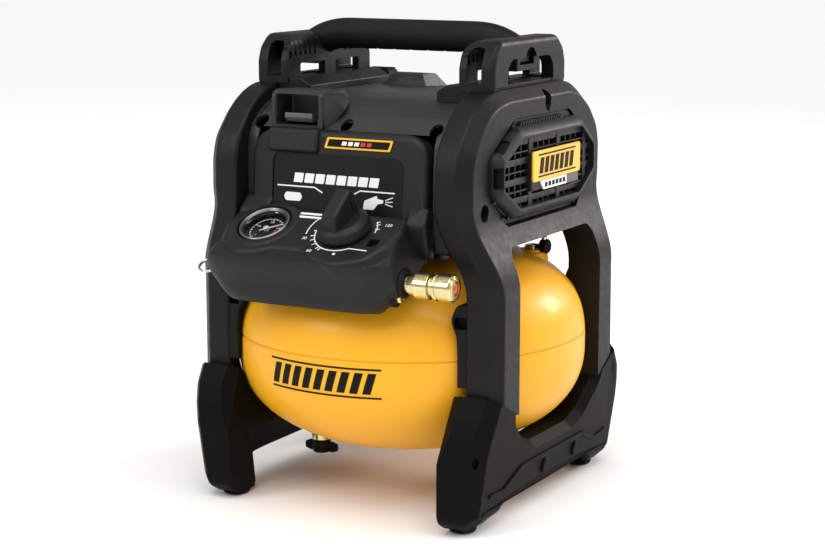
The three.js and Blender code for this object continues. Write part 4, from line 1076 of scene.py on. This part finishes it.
def control_panel():
    body = chin()
    above = prism("above", "x", [(-260, 184), (-100, 273.6), (-100, 400), (-260, 400)], -200, 200)
    for vertex in above.data.vertices:
        if vertex.co.z < 300:
            reach = vertex.co.y - SLOPE_AT.y
            vertex.co.z = SLOPE_AT.z + reach * math.tan(SLOPE) - 3.4
    cut(body, above)
    flank = prism("flank", "x", rounded([(-114, 226), (-126, 232, 6), (-131, 256, 10), (-124, 270),
        (-114, 270)], 0), 66, 85.4, soft(3), soft(3))
    left_flank = prism("flank", "x", rounded([(-114, 232), (-134, 240, 8), (-136, 258, 10), (-124, 270),
        (-114, 270)], 0), -95, -66, soft(4), soft(3))
    bulge = prism("bulge", "x", rounded([(-108, 329), (-122.5, 329, 3), (-125.5, 311, 3), (-118, 307)],
        0), -71, -22, soft(2.5), soft(2.5))
    mound = lathe("mound", rounded([(0, -10), (33.5, -10), (33.5, -1, 2), (28.5, 1.4, 4), (0, 1.4)], 0,
        12, closed=False), 96)
    mound.data.transform(on_slope(GAUGE_X))
    join(body, slope_plateau(), upper_face(), flank, left_flank, bulge, mound)
    room = prism("room", "x", rounded([(-100, 226), (-124, 224, 8), (-146, 204, 8), (-160, 198, 8),
        (-164, 222, 8), (-122, 246, 8), (-118, 300, 8), (-108, 322), (-100, 322)], 0), -80, 58)
    well = lathe("well", [(0, -26), (GAUGE_R + 1, -26), (GAUGE_R + 1, 0), (GAUGE_R + 3, 3), (0, 3)], 64)
    well.data.transform(on_slope(GAUGE_X))
    stem = lathe("stem", [(0, -30), (7, -30), (7, 6), (0, 6)], 32)
    stem.data.transform(on_slope(KNOB_X))
    boss = lathe("boss", rounded([(0, 52), (15.5, 52), (15.5, 70, 2), (13.8, 75.5, 1.5), (0, 75.5)], 0,
        12, closed=False), 72, "x", (0, COUPLER_Y, COUPLER_Z))
    port = rod("port", "x", 12.9, 71.4, 100, (0, COUPLER_Y, COUPLER_Z), 0.1)
    bore = rod("bore", "x", 8.6, 48, 100, (0, COUPLER_Y, COUPLER_Z), 0.1)
    left_port = rod("left_port", "x", 6.2, -120, -80, (0, VALVE_Y, VALVE_Z), 0.1, 32)
    slot = box("slot", 47.5, 57, -8, 2, -6, 5, 1.5)
    slot.data.transform(on_slope(0, 0, 0, -9))
    join(cut(body, room), boss)
    cut(body, well, stem, port, bore, left_port, slot)
    return cut(body, tank_room(1.2))


def flat_mark(name, points, matrix, thick=0.3, r=0.0):
    """A thin printed shape in the plane of a matrix."""
    mark = prism(name, "z", rounded(points, r), -0.4, thick)
    mark.data.transform(matrix)
    return mark


def stroke(points, width):
    """The outline of a line of a width through points."""
    path = [Vector(p) for p in points]
    left, right = [], []
    for i, here in enumerate(path):
        ahead = path[min(i + 1, len(path) - 1)] - path[max(i - 1, 0)]
        side = Vector((-ahead.y, ahead.x)).normalized() * width / 2
        left.append(here + side)
        right.append(here - side)
    return [tuple(p) for p in left + right[::-1]]


def arc(r, start, stop, count=24):
    angles = [math.radians(start + (stop - start) * i / count) for i in range(count + 1)]
    return [polar(r, t) for t in angles]


def on_label(x, z, out=0.0):
    """Local (right, up, outwards) on the label, at a height."""
    y = LABEL_Y + LABEL_LEAN * max(0, z - LABEL_BEND) - out
    return (Matrix.Translation((x, y, z)) @ Matrix.Rotation(-math.atan(LABEL_LEAN), 4,
        "X") @ Matrix.Rotation(math.pi / 2, 4, "X"))


def make_label():
    sheet = prism("label_sheet", "z",
        rounded([(-65.5, -29), (-65.5, 19.5, 8), (59.5, 19.5, 8), (59.5, -29)], 0), -0.5, 0.3)
    sheet.data.transform(on_label(0, 288))
    hand_over(sheet, "label", nodes=["control_label"])
    marks = []
    x = -46
    for i in range(8):
        slanted = [(x, -4), (x + 8.8, -4), (x + 10, 4), (x + 1.2, 4)]
        marks.append(flat_mark("mark", slanted, on_label(0, 287.8), 0.6, 0.8))
        x += 10.5
    for line in ([(-62, 280.4), (-25, 280.4), (-17, 276.4)], [(52.5, 280.4), (19.5, 280.4), (14, 277.4)]):
        marks.append(flat_mark("mark", stroke([(a, b - 278) for a, b in line], 1.1), on_label(0, 278), 0.6))
    pill = [(-53, -3.6), (-39, -3.6), (-37, 0), (-39, 3.6), (-53, 3.6), (-55, 0)]
    marks.append(flat_mark("mark", pill, on_label(0, 271.6), 0.6, 2))
    hand = [(23, -6), (33, -6), (37, -1), (42, 0), (42, 2.6), (36, 3.4), (36, 6), (32, 4.4), (24, 1)]
    marks.append(flat_mark("mark", hand, on_label(0, 271.6), 0.6, 1.0))
    for i in (-1, 0, 1):
        dash = stroke([(44, 1.0 + i * 1.4), (51, 1.6 + i * 3.8)], 0.7)
        marks.append(flat_mark("mark", dash, on_label(0, 271.6), 0.6))
    # Pressure scale round the knob.
    place = on_slope(KNOB_X)
    marks.append(flat_mark("mark",
        stroke([polar(28.6, math.radians(186)),
        *arc(26.2, 186, 304, 40), (31.6, -22.5)], 1.0), place))
    marks.append(flat_mark("mark", stroke(arc(27.5, 2, 32, 12), 0.9), place))
    marks.append(flat_mark("mark", stroke(arc(34.5, 154, 194, 16), 0.9), place))
    for degrees in (200, 212, 226, 240, 246, 12, 24, 32):
        t = math.radians(degrees)
        tick = [polar(r, t) for r in (26.2, 30)]
        marks.append(flat_mark("mark", stroke(tick, 0.8), place))
    marks.append(flat_mark("mark", [(3.6, -31.5), (6, -31.5), (6, -29), (3.6, -29)], place, 0.3, 1))
    for text, degrees, r in (("30", 203, 35), ("120", 19, 37), ("60", 236, 35)):
        t = math.radians(degrees)
        spot = on_slope(KNOB_X, 0.05) @ Matrix.Translation((*polar(r, t), 0))
        marks.append(lettering("mark", text, 4.6, spot))
    for i in range(2):
        bar = [(-33, 17 - i * 4.4), (-9, 17 - i * 4.4), (-9, 19.4 - i * 4.4), (-33, 19.4 - i * 4.4)]
        marks.append(flat_mark("mark", bar, on_slope(0), 0.3, 0.6))
    hand_over(merged("panel_marks", marks), "white", sharp=20)


def make_accent_strip():
    """Framed strip badge above the label."""
    at = on_label(16, 318.8, 2.1)
    frame_shape = [(-32, -4.6), (31, -4.6), (34, 4.6), (-29, 4.6)]
    backing = flat_mark("accent_frame", frame_shape, at, 0.5, 1.2)
    hand_over(backing, "yellow", nodes=["accent_strip"])
    inner = [(-29.4, -3.1), (29.4, -3.1), (31.6, 3.1), (-27.2, 3.1)]
    hand_over(flat_mark("accent_field", inner, at, 0.8, 0.8), "ink")
    for name, places, look in (("accent_bars", (-15, -9, -3), "white"), ("accent_bars_red", (3, 9), "red")):
        bars = [flat_mark("bar", [(x, -1.6), (x + 4.4, -1.6), (x + 5.4, 1.6), (x + 1, 1.6)], at, 1.0, 0.3)
            for x in places]
        hand_over(merged(name, bars), look)


# ---------------------------------------------------------------- gauge and regulator
def make_gauge():
    lift = -2.4
    place = on_slope(GAUGE_X, lift)
    r = GAUGE_R
    case = lathe("gauge_housing", [(0, -30), (5, -30), (5, -22), (r - 0.6, -22), (r - 0.6, -1),
        (r - 3, -1), (r - 3, -6), (0, -6)], 96)
    bezel = lathe("bezel", rounded([(r - 3.6, -0.6), (r, -0.6), (r, 3, 1.4), (r - 1.6, 4.2, 1.2),
        (r - 3.6, 2.2, 0.6)], 0, 15), 96)
    dial = lathe("dial", [(0, -5.6), (18.9, -5.6), (18.9, -4.6), (0, -4.6)], 96)
    lens = lathe("lens", [(0, -0.4), (18.7, -0.4), (18.7, 0.9), (12, 1.5), (0, 1.8)], 64)
    for obj in (case, bezel, dial, lens):
        obj.data.transform(place)
    hand_over(case, "dark_steel", nodes=["gauge_case"])
    hand_over(bezel, "bezel", nodes=["gauge_bezel"])
    hand_over(dial, "label", nodes=["gauge_dial"])
    hand_over(lens, "lens", nodes=["gauge_lens"])

    face = on_slope(GAUGE_X, lift - 4.6)
    white, red = [], []
    start, sweep = 225, 270
    white.append(flat_mark("mark", stroke(arc(14.6, start, start - sweep, 60), 0.35), face, 0.12))
    for i in range(21):
        t = math.radians(start - i * sweep / 20)
        inner = 12.2 if i % 5 == 0 else 13.4
        tick = [polar(r, t) for r in (inner, 15.2)]
        white.append(flat_mark("mark", stroke(tick, 0.7 if i % 5 == 0 else 0.4), face, 0.12))
    for i, text in enumerate(("0", "50", "100", "150", "200")):
        t = math.radians(start - i * sweep / 4)
        spot = face @ Matrix.Translation((17 * math.cos(t) * 0.6, 17 * math.sin(t) * 0.6, 0.05))
        white.append(lettering("mark", text, 3.0, spot, thick=0.12))
    red.append(flat_mark("mark", stroke(arc(8.2, -75, 10, 24), 1.5), face, 0.12))
    red.append(flat_mark("mark", stroke(arc(16.6, -45, 12, 20), 1.0), face, 0.12))
    hand_over(merged("dial_marks", white), "white", sharp=20)
    hand_over(merged("dial_red", red), "red", sharp=20)

    hub = lathe("pointer", rounded([(0, -4.3), (2.4, -4.3), (2.4, -1.6, 0.6), (0, -1.2)], 0, 20,
        closed=False), 32)
    hand = prism("hand", "z", [(-0.8, 0), (-0.6, -6), (0.6, -6), (0.8, 0), (0.25, 14.6), (-0.25, 14.6)],
        -3.4, -2.8)
    hand.data.transform(Matrix.Rotation(math.radians(-58), 4, "Z"))
    pointer = join(hub, hand)
    pointer.data.transform(place)
    hand_over(pointer, "pointer", "gauge_needle", ["gauge_needle"])


def regulator_knob():
    """Round base with a flat-sided finger grip across it, highest at the rear."""
    base = rounded([(0, 1.6), (22.4, 1.6), (22.8, 3.4, 1), (21.6, 9.5, 3), (17.5, 12.8, 3), (0, 13)], 0,
        12, closed=False)
    knob = lathe("knob", base, 96)
    side = [(-18.5, 8), (-17.2, 19, 4), (-14, 25.6, 3), (12.6, 34.6, 3), (15.6, 31, 4), (17.6, 8)]
    grip = prism("grip", "x", rounded(side, 0, 10), -7.2, 7.2, soft(2.2, 3), soft(2.2, 3))
    waist = [prism("waist", "x", rounded([(-10, 15), (-9, 22, 3), (9, 27, 3), (11, 15)], 3),
        *span) for span in ((-12, -6), (6, 12))]
    join(knob, grip)
    cut(knob, *waist)
    flutes = []
    for i in range(24):
        t = 2 * math.pi * i / 24
        flutes.append(rod("flute", "z", 1.1, 2.4, 10, (*polar(23.4, t), 0), 0.3, 10))
    cut(knob, *flutes)
    softened(knob, 0.5, 2, 40)
    stem = rod("stem", "z", 5, -14, 4)
    join(knob, stem)
    knob.data.transform(on_slope(KNOB_X, 0, KNOB_TURN))
    return knob


def make_regulator():
    hand_over(regulator_knob(), "panel", "regulator_knob", ["regulator_knob"])
    body = lathe("regulator_case", rounded([(5.4, -30), (14, -30, 1.5), (15.5, -26, 1), (15.5, -9, 2),
        (12, -4.2, 1), (5.4, -4.2)], 0), 64)
    body.data.transform(on_slope(KNOB_X))
    hand_over(body, "brass", nodes=["regulator_body"])


# ---------------------------------------------------------------- fittings
def make_coupler():
    at = (0, COUPLER_Y, COUPLER_Z)
    start, end, r, bore = 79, 123, 11, 6
    rear = rounded([(bore, 64), (7.6, 64), (7.6, start + 3, 0.4), (8.6, start + 3), (9.4, start + 9, 0.4),
        (r, start + 9.6, 0.4), (r, start + 22, 0.5), (r - 2.4, start + 22.6), (r - 2.4, end, 0.6),
        (bore, end)], 0, 20)
    hand_over(lathe("coupler_tube", rear, 72, "x", at), "brass", nodes=["coupler_body"])
    inner = r - 2.1
    ring = [(inner, start + 26.4), (r + 0.3, start + 26.4, 0.5), (r + 0.3, start + 28.4, 0.5),
        (r - 0.9, start + 29.1), (r - 0.9, start + 30.6), (r + 0.3, start + 31.2, 0.5),
        (r + 0.3, end - 2.2, 0.8), (r - 1.2, end - 0.5, 0.6), (inner, end - 0.5)]
    hand_over(lathe("sleeve", rounded(ring, 0, 20), 72, "x", at), "brass", "coupler_sleeve",
        ["coupler_sleeve"])
    plug = rounded([(0, end - 20), (bore - GAP, end - 20), (bore - GAP, end - 2.2, 0.5),
        (bore - 1.6, end - 1.2, 0.4), (2, end - 1.2, 0.3), (1.6, end - 3), (0, end - 3)], 0, 20,
        closed=False)
    hand_over(lathe("plug_valve", plug, 48, "x", at), "orange", "coupler_valve", ["coupler_valve"])
    collar = rounded([(8.2, 72), (12.6, 72), (12.2, 76.5, 1), (11, 78.6, 1.5), (9, 79, 0.5), (8.2, 79)],
        0, 20)
    collar = lathe("port_collar", collar, 64, "x", at)
    hand_over(cut(collar, tank_room(1.0)), "rubber", nodes=["coupler_collar"])
    nut = hexagon("port_nut", "x", 9, 69, 76.6, (0, -152, 201))
    seat = rod("port_seat", "x", 7, 66, 72, (0, -152, 199), 1)
    hand_over(cut(nut, tank_room(1.0)), "brass")
    hand_over(cut(seat, tank_room(1.0)), "rubber")


def make_safety_valve():
    wall = -98
    at = (0, VALVE_Y, VALVE_Z)
    body = rounded([(2.2, wall - 3.5), (4.6, wall - 3.5, 0.5), (5.6, wall - 2, 0.3), (5.6, wall + 16),
        (2.2, wall + 16)], 0, 20)
    hand_over(lathe("relief_valve", body, 48, "x", at), "brass", nodes=["safety_valve_body"])
    eye_x = wall - 8.6
    stem = rod("relief_stem", "x", 1.85, eye_x + 2, wall + 12, at, 0.2, 32)
    eye = lathe("eye", rounded([(2.1, VALVE_Y - 1.2), (3.7, VALVE_Y - 1.2, 0.4),
        (3.7, VALVE_Y + 1.2, 0.4), (2.1, VALVE_Y + 1.2)], 0, 20), 40, "y", (eye_x, 0, VALVE_Z))
    hand_over(join(stem, eye), "steel", "safety_valve_stem", ["safety_valve_stem"])
    ring = torus("key_ring", PULL_RING_R, PULL_RING_WIRE, (eye_x - PULL_RING_R, VALVE_Y, VALVE_Z),
        PULL_RING_TILT)
    hand_over(ring, "steel", "safety_pull_ring", ["safety_pull_ring"])


def make_drain():
    x, y, seat = DRAIN
    at = (x, y, seat)
    body = rounded([(0, -20), (4.6, -20), (4.6, -16), (9, -16, 0.8), (9, -8, 0.8), (4.7, -7), (4.7, 8),
        (0, 8)], 0, 20, closed=False)
    hand_over(lathe("drain_body", body, 48, "z", at), "brass", nodes=["drain_valve_body"])
    ring = rounded([(4.95, -28), (7.4, -28, 0.6), (8.4, -26, 0.6), (8.4, -16.6, 0.5), (4.95, -16.6)], 0, 20)
    ring = lathe("drain_knob", ring, 48)
    wing = prism("wing", "y", rounded([(-17, -26), (-12, -27.6), (12, -27.6), (17, -26), (17, -20),
        (12, -18), (-12, -18), (-17, -20)], 2), -1.6, 1.6, soft(0.6, 2), soft(0.6, 2))
    knob = cut(join(ring, wing), rod("bore", "z", 4.95, -40, -10))
    knob.data.transform(Matrix.Translation(at))
    hand_over(knob, "rubber", "drain_valve_handle", ["drain_valve_handle"])


def make_port_fitting():
    """Brass elbow on the tank's shoulder, with a fluted plastic ring and a stub above it."""
    x, y = 88, 66
    seat = tank_seat(x, y)
    stem = rod("elbow_fitting", "z", 5.6, seat - 8, seat + 8, (x, y, 0), 0.5)
    nut = hexagon("nut", "z", 14, seat + 2.5, seat + 7, (x, y, 0))
    arm = rod("arm", "x", 4.6, x, x + 14, (0, y, seat + 4), 0.5)
    stub = rod("stub", "z", 2.6, seat + 4, seat + 16, (x + 12, y, 0), 0.5)
    hand_over(join(stem, nut, arm, stub), "brass", nodes=["port_fitting"])
    cap = rod("fitting_cap", "x", 6.6, x + 8.5, x + 16.5, (0, y, seat + 7), 1.2)
    flutes = [rod("flute", "x", 1.0, x + 5, x + 14, (0, y + 7.1 * math.cos(math.pi * i / 6),
        seat + 7 + 7.1 * math.sin(math.pi * i / 6)), 0.2, 10) for i in range(12)]
    hand_over(cut(cap, *flutes), "rubber")


# ---------------------------------------------------------------- vents and badges
def vent_grille():
    """Plate filling the frame's octagon: it slopes out to a rim round the louvres."""
    opening = anticlockwise(rounded([(-88.5, 284, 5), (-58, 265.5, 6), (60, 265.5, 6), (90, 284, 5),
        (90, 305, 5), (64, 323.5, 6), (-54, 323.5, 6), (-88.5, 305, 5)], 0, 10))
    hole = anticlockwise(rounded(VENT_HOLE, 0, 10))
    hole = inset(hole, 0.6)
    flat = inset(hole, 6)
    rim = inset(opening, -9)
    plate = prism("vent_grille_shell", "x", hole, 116, 124.4, SHARP, soft(1, 2))
    step = prism("step", "x", flat, 120, 128.5, SHARP, chamfer(3, 3, 1))
    dome = prism("dome", "x", rim, 120, 136.5, SHARP, [(7.6, 0), (6.4, 0.3), (2.2, 3.4), (0, 7.5)])
    join(plate, step, dome)
    cut(plate, prism("opening", "x", opening, 100, 150))
    notches = [prism("notch", "x", rounded(shape, 1), 121.5, 150) for shape in ([(-97, 303), (-90, 303),
        (-90, 286), (-97, 286)], [(-92, 317), (-86, 313), (-71, 322), (-77, 327)],
        [(-66, 333), (-60, 328), (-48, 336), (-52, 341)],)]
    cut(plate, *notches)
    softened(plate, 0.6, 2, 40)
    keep = prism("keep", "x", inset(opening, -1), 100, 150)
    slats = []
    for row in range(4):
        z = 268 + row * 16.2
        slats.append(prism("slat", "y",
            rounded([(121, z), (131.5, z + 0.6, 1), (132.2, z + 6.4, 1), (121, z + 5.4)], 0.6), -92, 92))
        slats.append(box("rung", 123, 132, -92, 92, z + 10.6, z + 12, 0.4))
    for i in range(-8, 9):
        wide = 3 if i % 5 == 2 else 1.3
        slats.append(box("bar", 120, 132.4 if wide > 2 else 129, i * 11 - wide, i * 11 + wide, 262, 326, 0.5))
    bars = slats[0]
    join(bars, *slats[1:])
    combine(bars, "INTERSECT", [keep])
    pad = box("pad", 124, 135.2, -36, 58, 276.5, 310, 2, "x")
    hatch = []
    for i in range(17):
        y = -44 + i * 4.9
        hatch.append(prism("hatch", "x", [(y, 330.4), (y + 2.2, 330.4), (y + 5.6, 336), (y + 3.4, 336)],
            122, 127.6))
    for i in range(24):
        y = -44 + i * 4
        hatch.append(box("rib", 124, 129.4, y, y + 2, 255.4, 258.6, 0.5))
    # A black sheet closes the opening behind the louvres: painted shade where the inside would show through.
    back = prism("back", "x", inset(opening, -3), 113, 116)
    return join(plate, bars, pad, *hatch), back


def make_badge(side):
    """Yellow plate with a black field of slanted bars, over a white tag."""
    hand = "right" if side > 0 else "left"
    face = 135.2
    plate = box_outline(-36.5, 58.5, 284.7, 310.6, 2.5)
    pieces = {
        "plate": (prism("badge_plate", "x", plate, face + GAP, face + 2, SHARP, soft(0.7, 2)), "yellow"),
        "tag": (prism("badge_tag", "x", rounded([(-14, 276.6), (32, 276.6), (32, 284.3), (-21, 284.3)], 1),
                      face, face + 1.2), "white"),
        "tag_end": (prism("badge_tag_end", "x",
                          rounded([(32.5, 276.6), (56, 276.6), (56, 284.3), (32.5, 284.3)], 1), face,
                          face + 1.2), "rocker"),
    }
    rules = [box("rule", face + 1.8, face + 2.4, -27, 48, z, z + 1.3) for z in (288, 306.4)]
    bars = []
    for i in range(7):
        y = -25 + i * 10
        bars.append(prism("bar", "x", [(y, 291), (y + 6.6, 291), (y + 9.4, 304.4), (y + 2.8, 304.4)],
            face + 1.8, face + 2.4))
    bars += [box("bar", face + 1.1, face + 1.5, -12 + i * 7.2, -7.4 + i * 7.2, 278.6,
        282.4) for i in range(6)]
    pieces["bars"] = (merged("badge_bars", [*rules, *bars]), "ink")
    for name, (obj, look) in pieces.items():
        if side < 0:
            # The left badge keeps the slant of the bars as read from that side.
            obj.data.transform(Matrix.Rotation(math.pi, 4, "Z") @ Matrix.Translation((0, -22, 0)))
        obj.name = f"{hand}_badge_{name}"
        node = [f"{hand}_badge"] if name == "plate" else ()
        hand_over(obj, look, nodes=node)


def make_vents():
    grille, back = vent_grille()
    hand_over_pair(grille, "vent_grille", "panel")
    # The black sheet behind each grille is painted shade.
    hand_over_pair(back, "vent_painted_shade_sheet", "ink", nodes=False)
    make_badge(1)
    make_badge(-1)


# ---------------------------------------------------------------- pump and electrics
CARRIED = {
    "pump_deck": "dark_steel", "crankcase": "alloy", "cylinder": "alloy", "cylinder_head": "alloy",
    "piston": "alloy", "motor_stator": "dark_steel", "motor_rotor": "steel", "crank_disc": "steel",
    "cooling_fan": "label", "check_valve": "brass", "delivery_tube": "copper",
    "pressure_switch": "label", "control_board": "board",
}


def finish_carried_nodes():
    """The inner pieces keep their CAD shapes, with softened edges and worked materials."""
    for node, look in CARRIED.items():
        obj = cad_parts[node]
        obj.data.materials.clear()
        obj.data.materials.append(FINISHES[look][1])
        bevel = obj.modifiers.new("edges", "BEVEL")
        bevel.width = 0.4 * MM
        bevel.segments = 2
        bevel.limit_method = "ANGLE"
        bevel.angle_limit = math.radians(40)


# ---------------------------------------------------------------- the whole
FINISHES = make_finishes()

add_studio()
make_tank()
make_tank_graphic()
make_cage()
make_handle()
make_housing()
hand_over(control_panel(), "panel", nodes=["control_panel"])
make_label()
make_accent_strip()
make_gauge()
make_regulator()
make_coupler()
make_safety_valve()
make_drain()
make_port_fitting()
make_vents()
finish_carried_nodes()
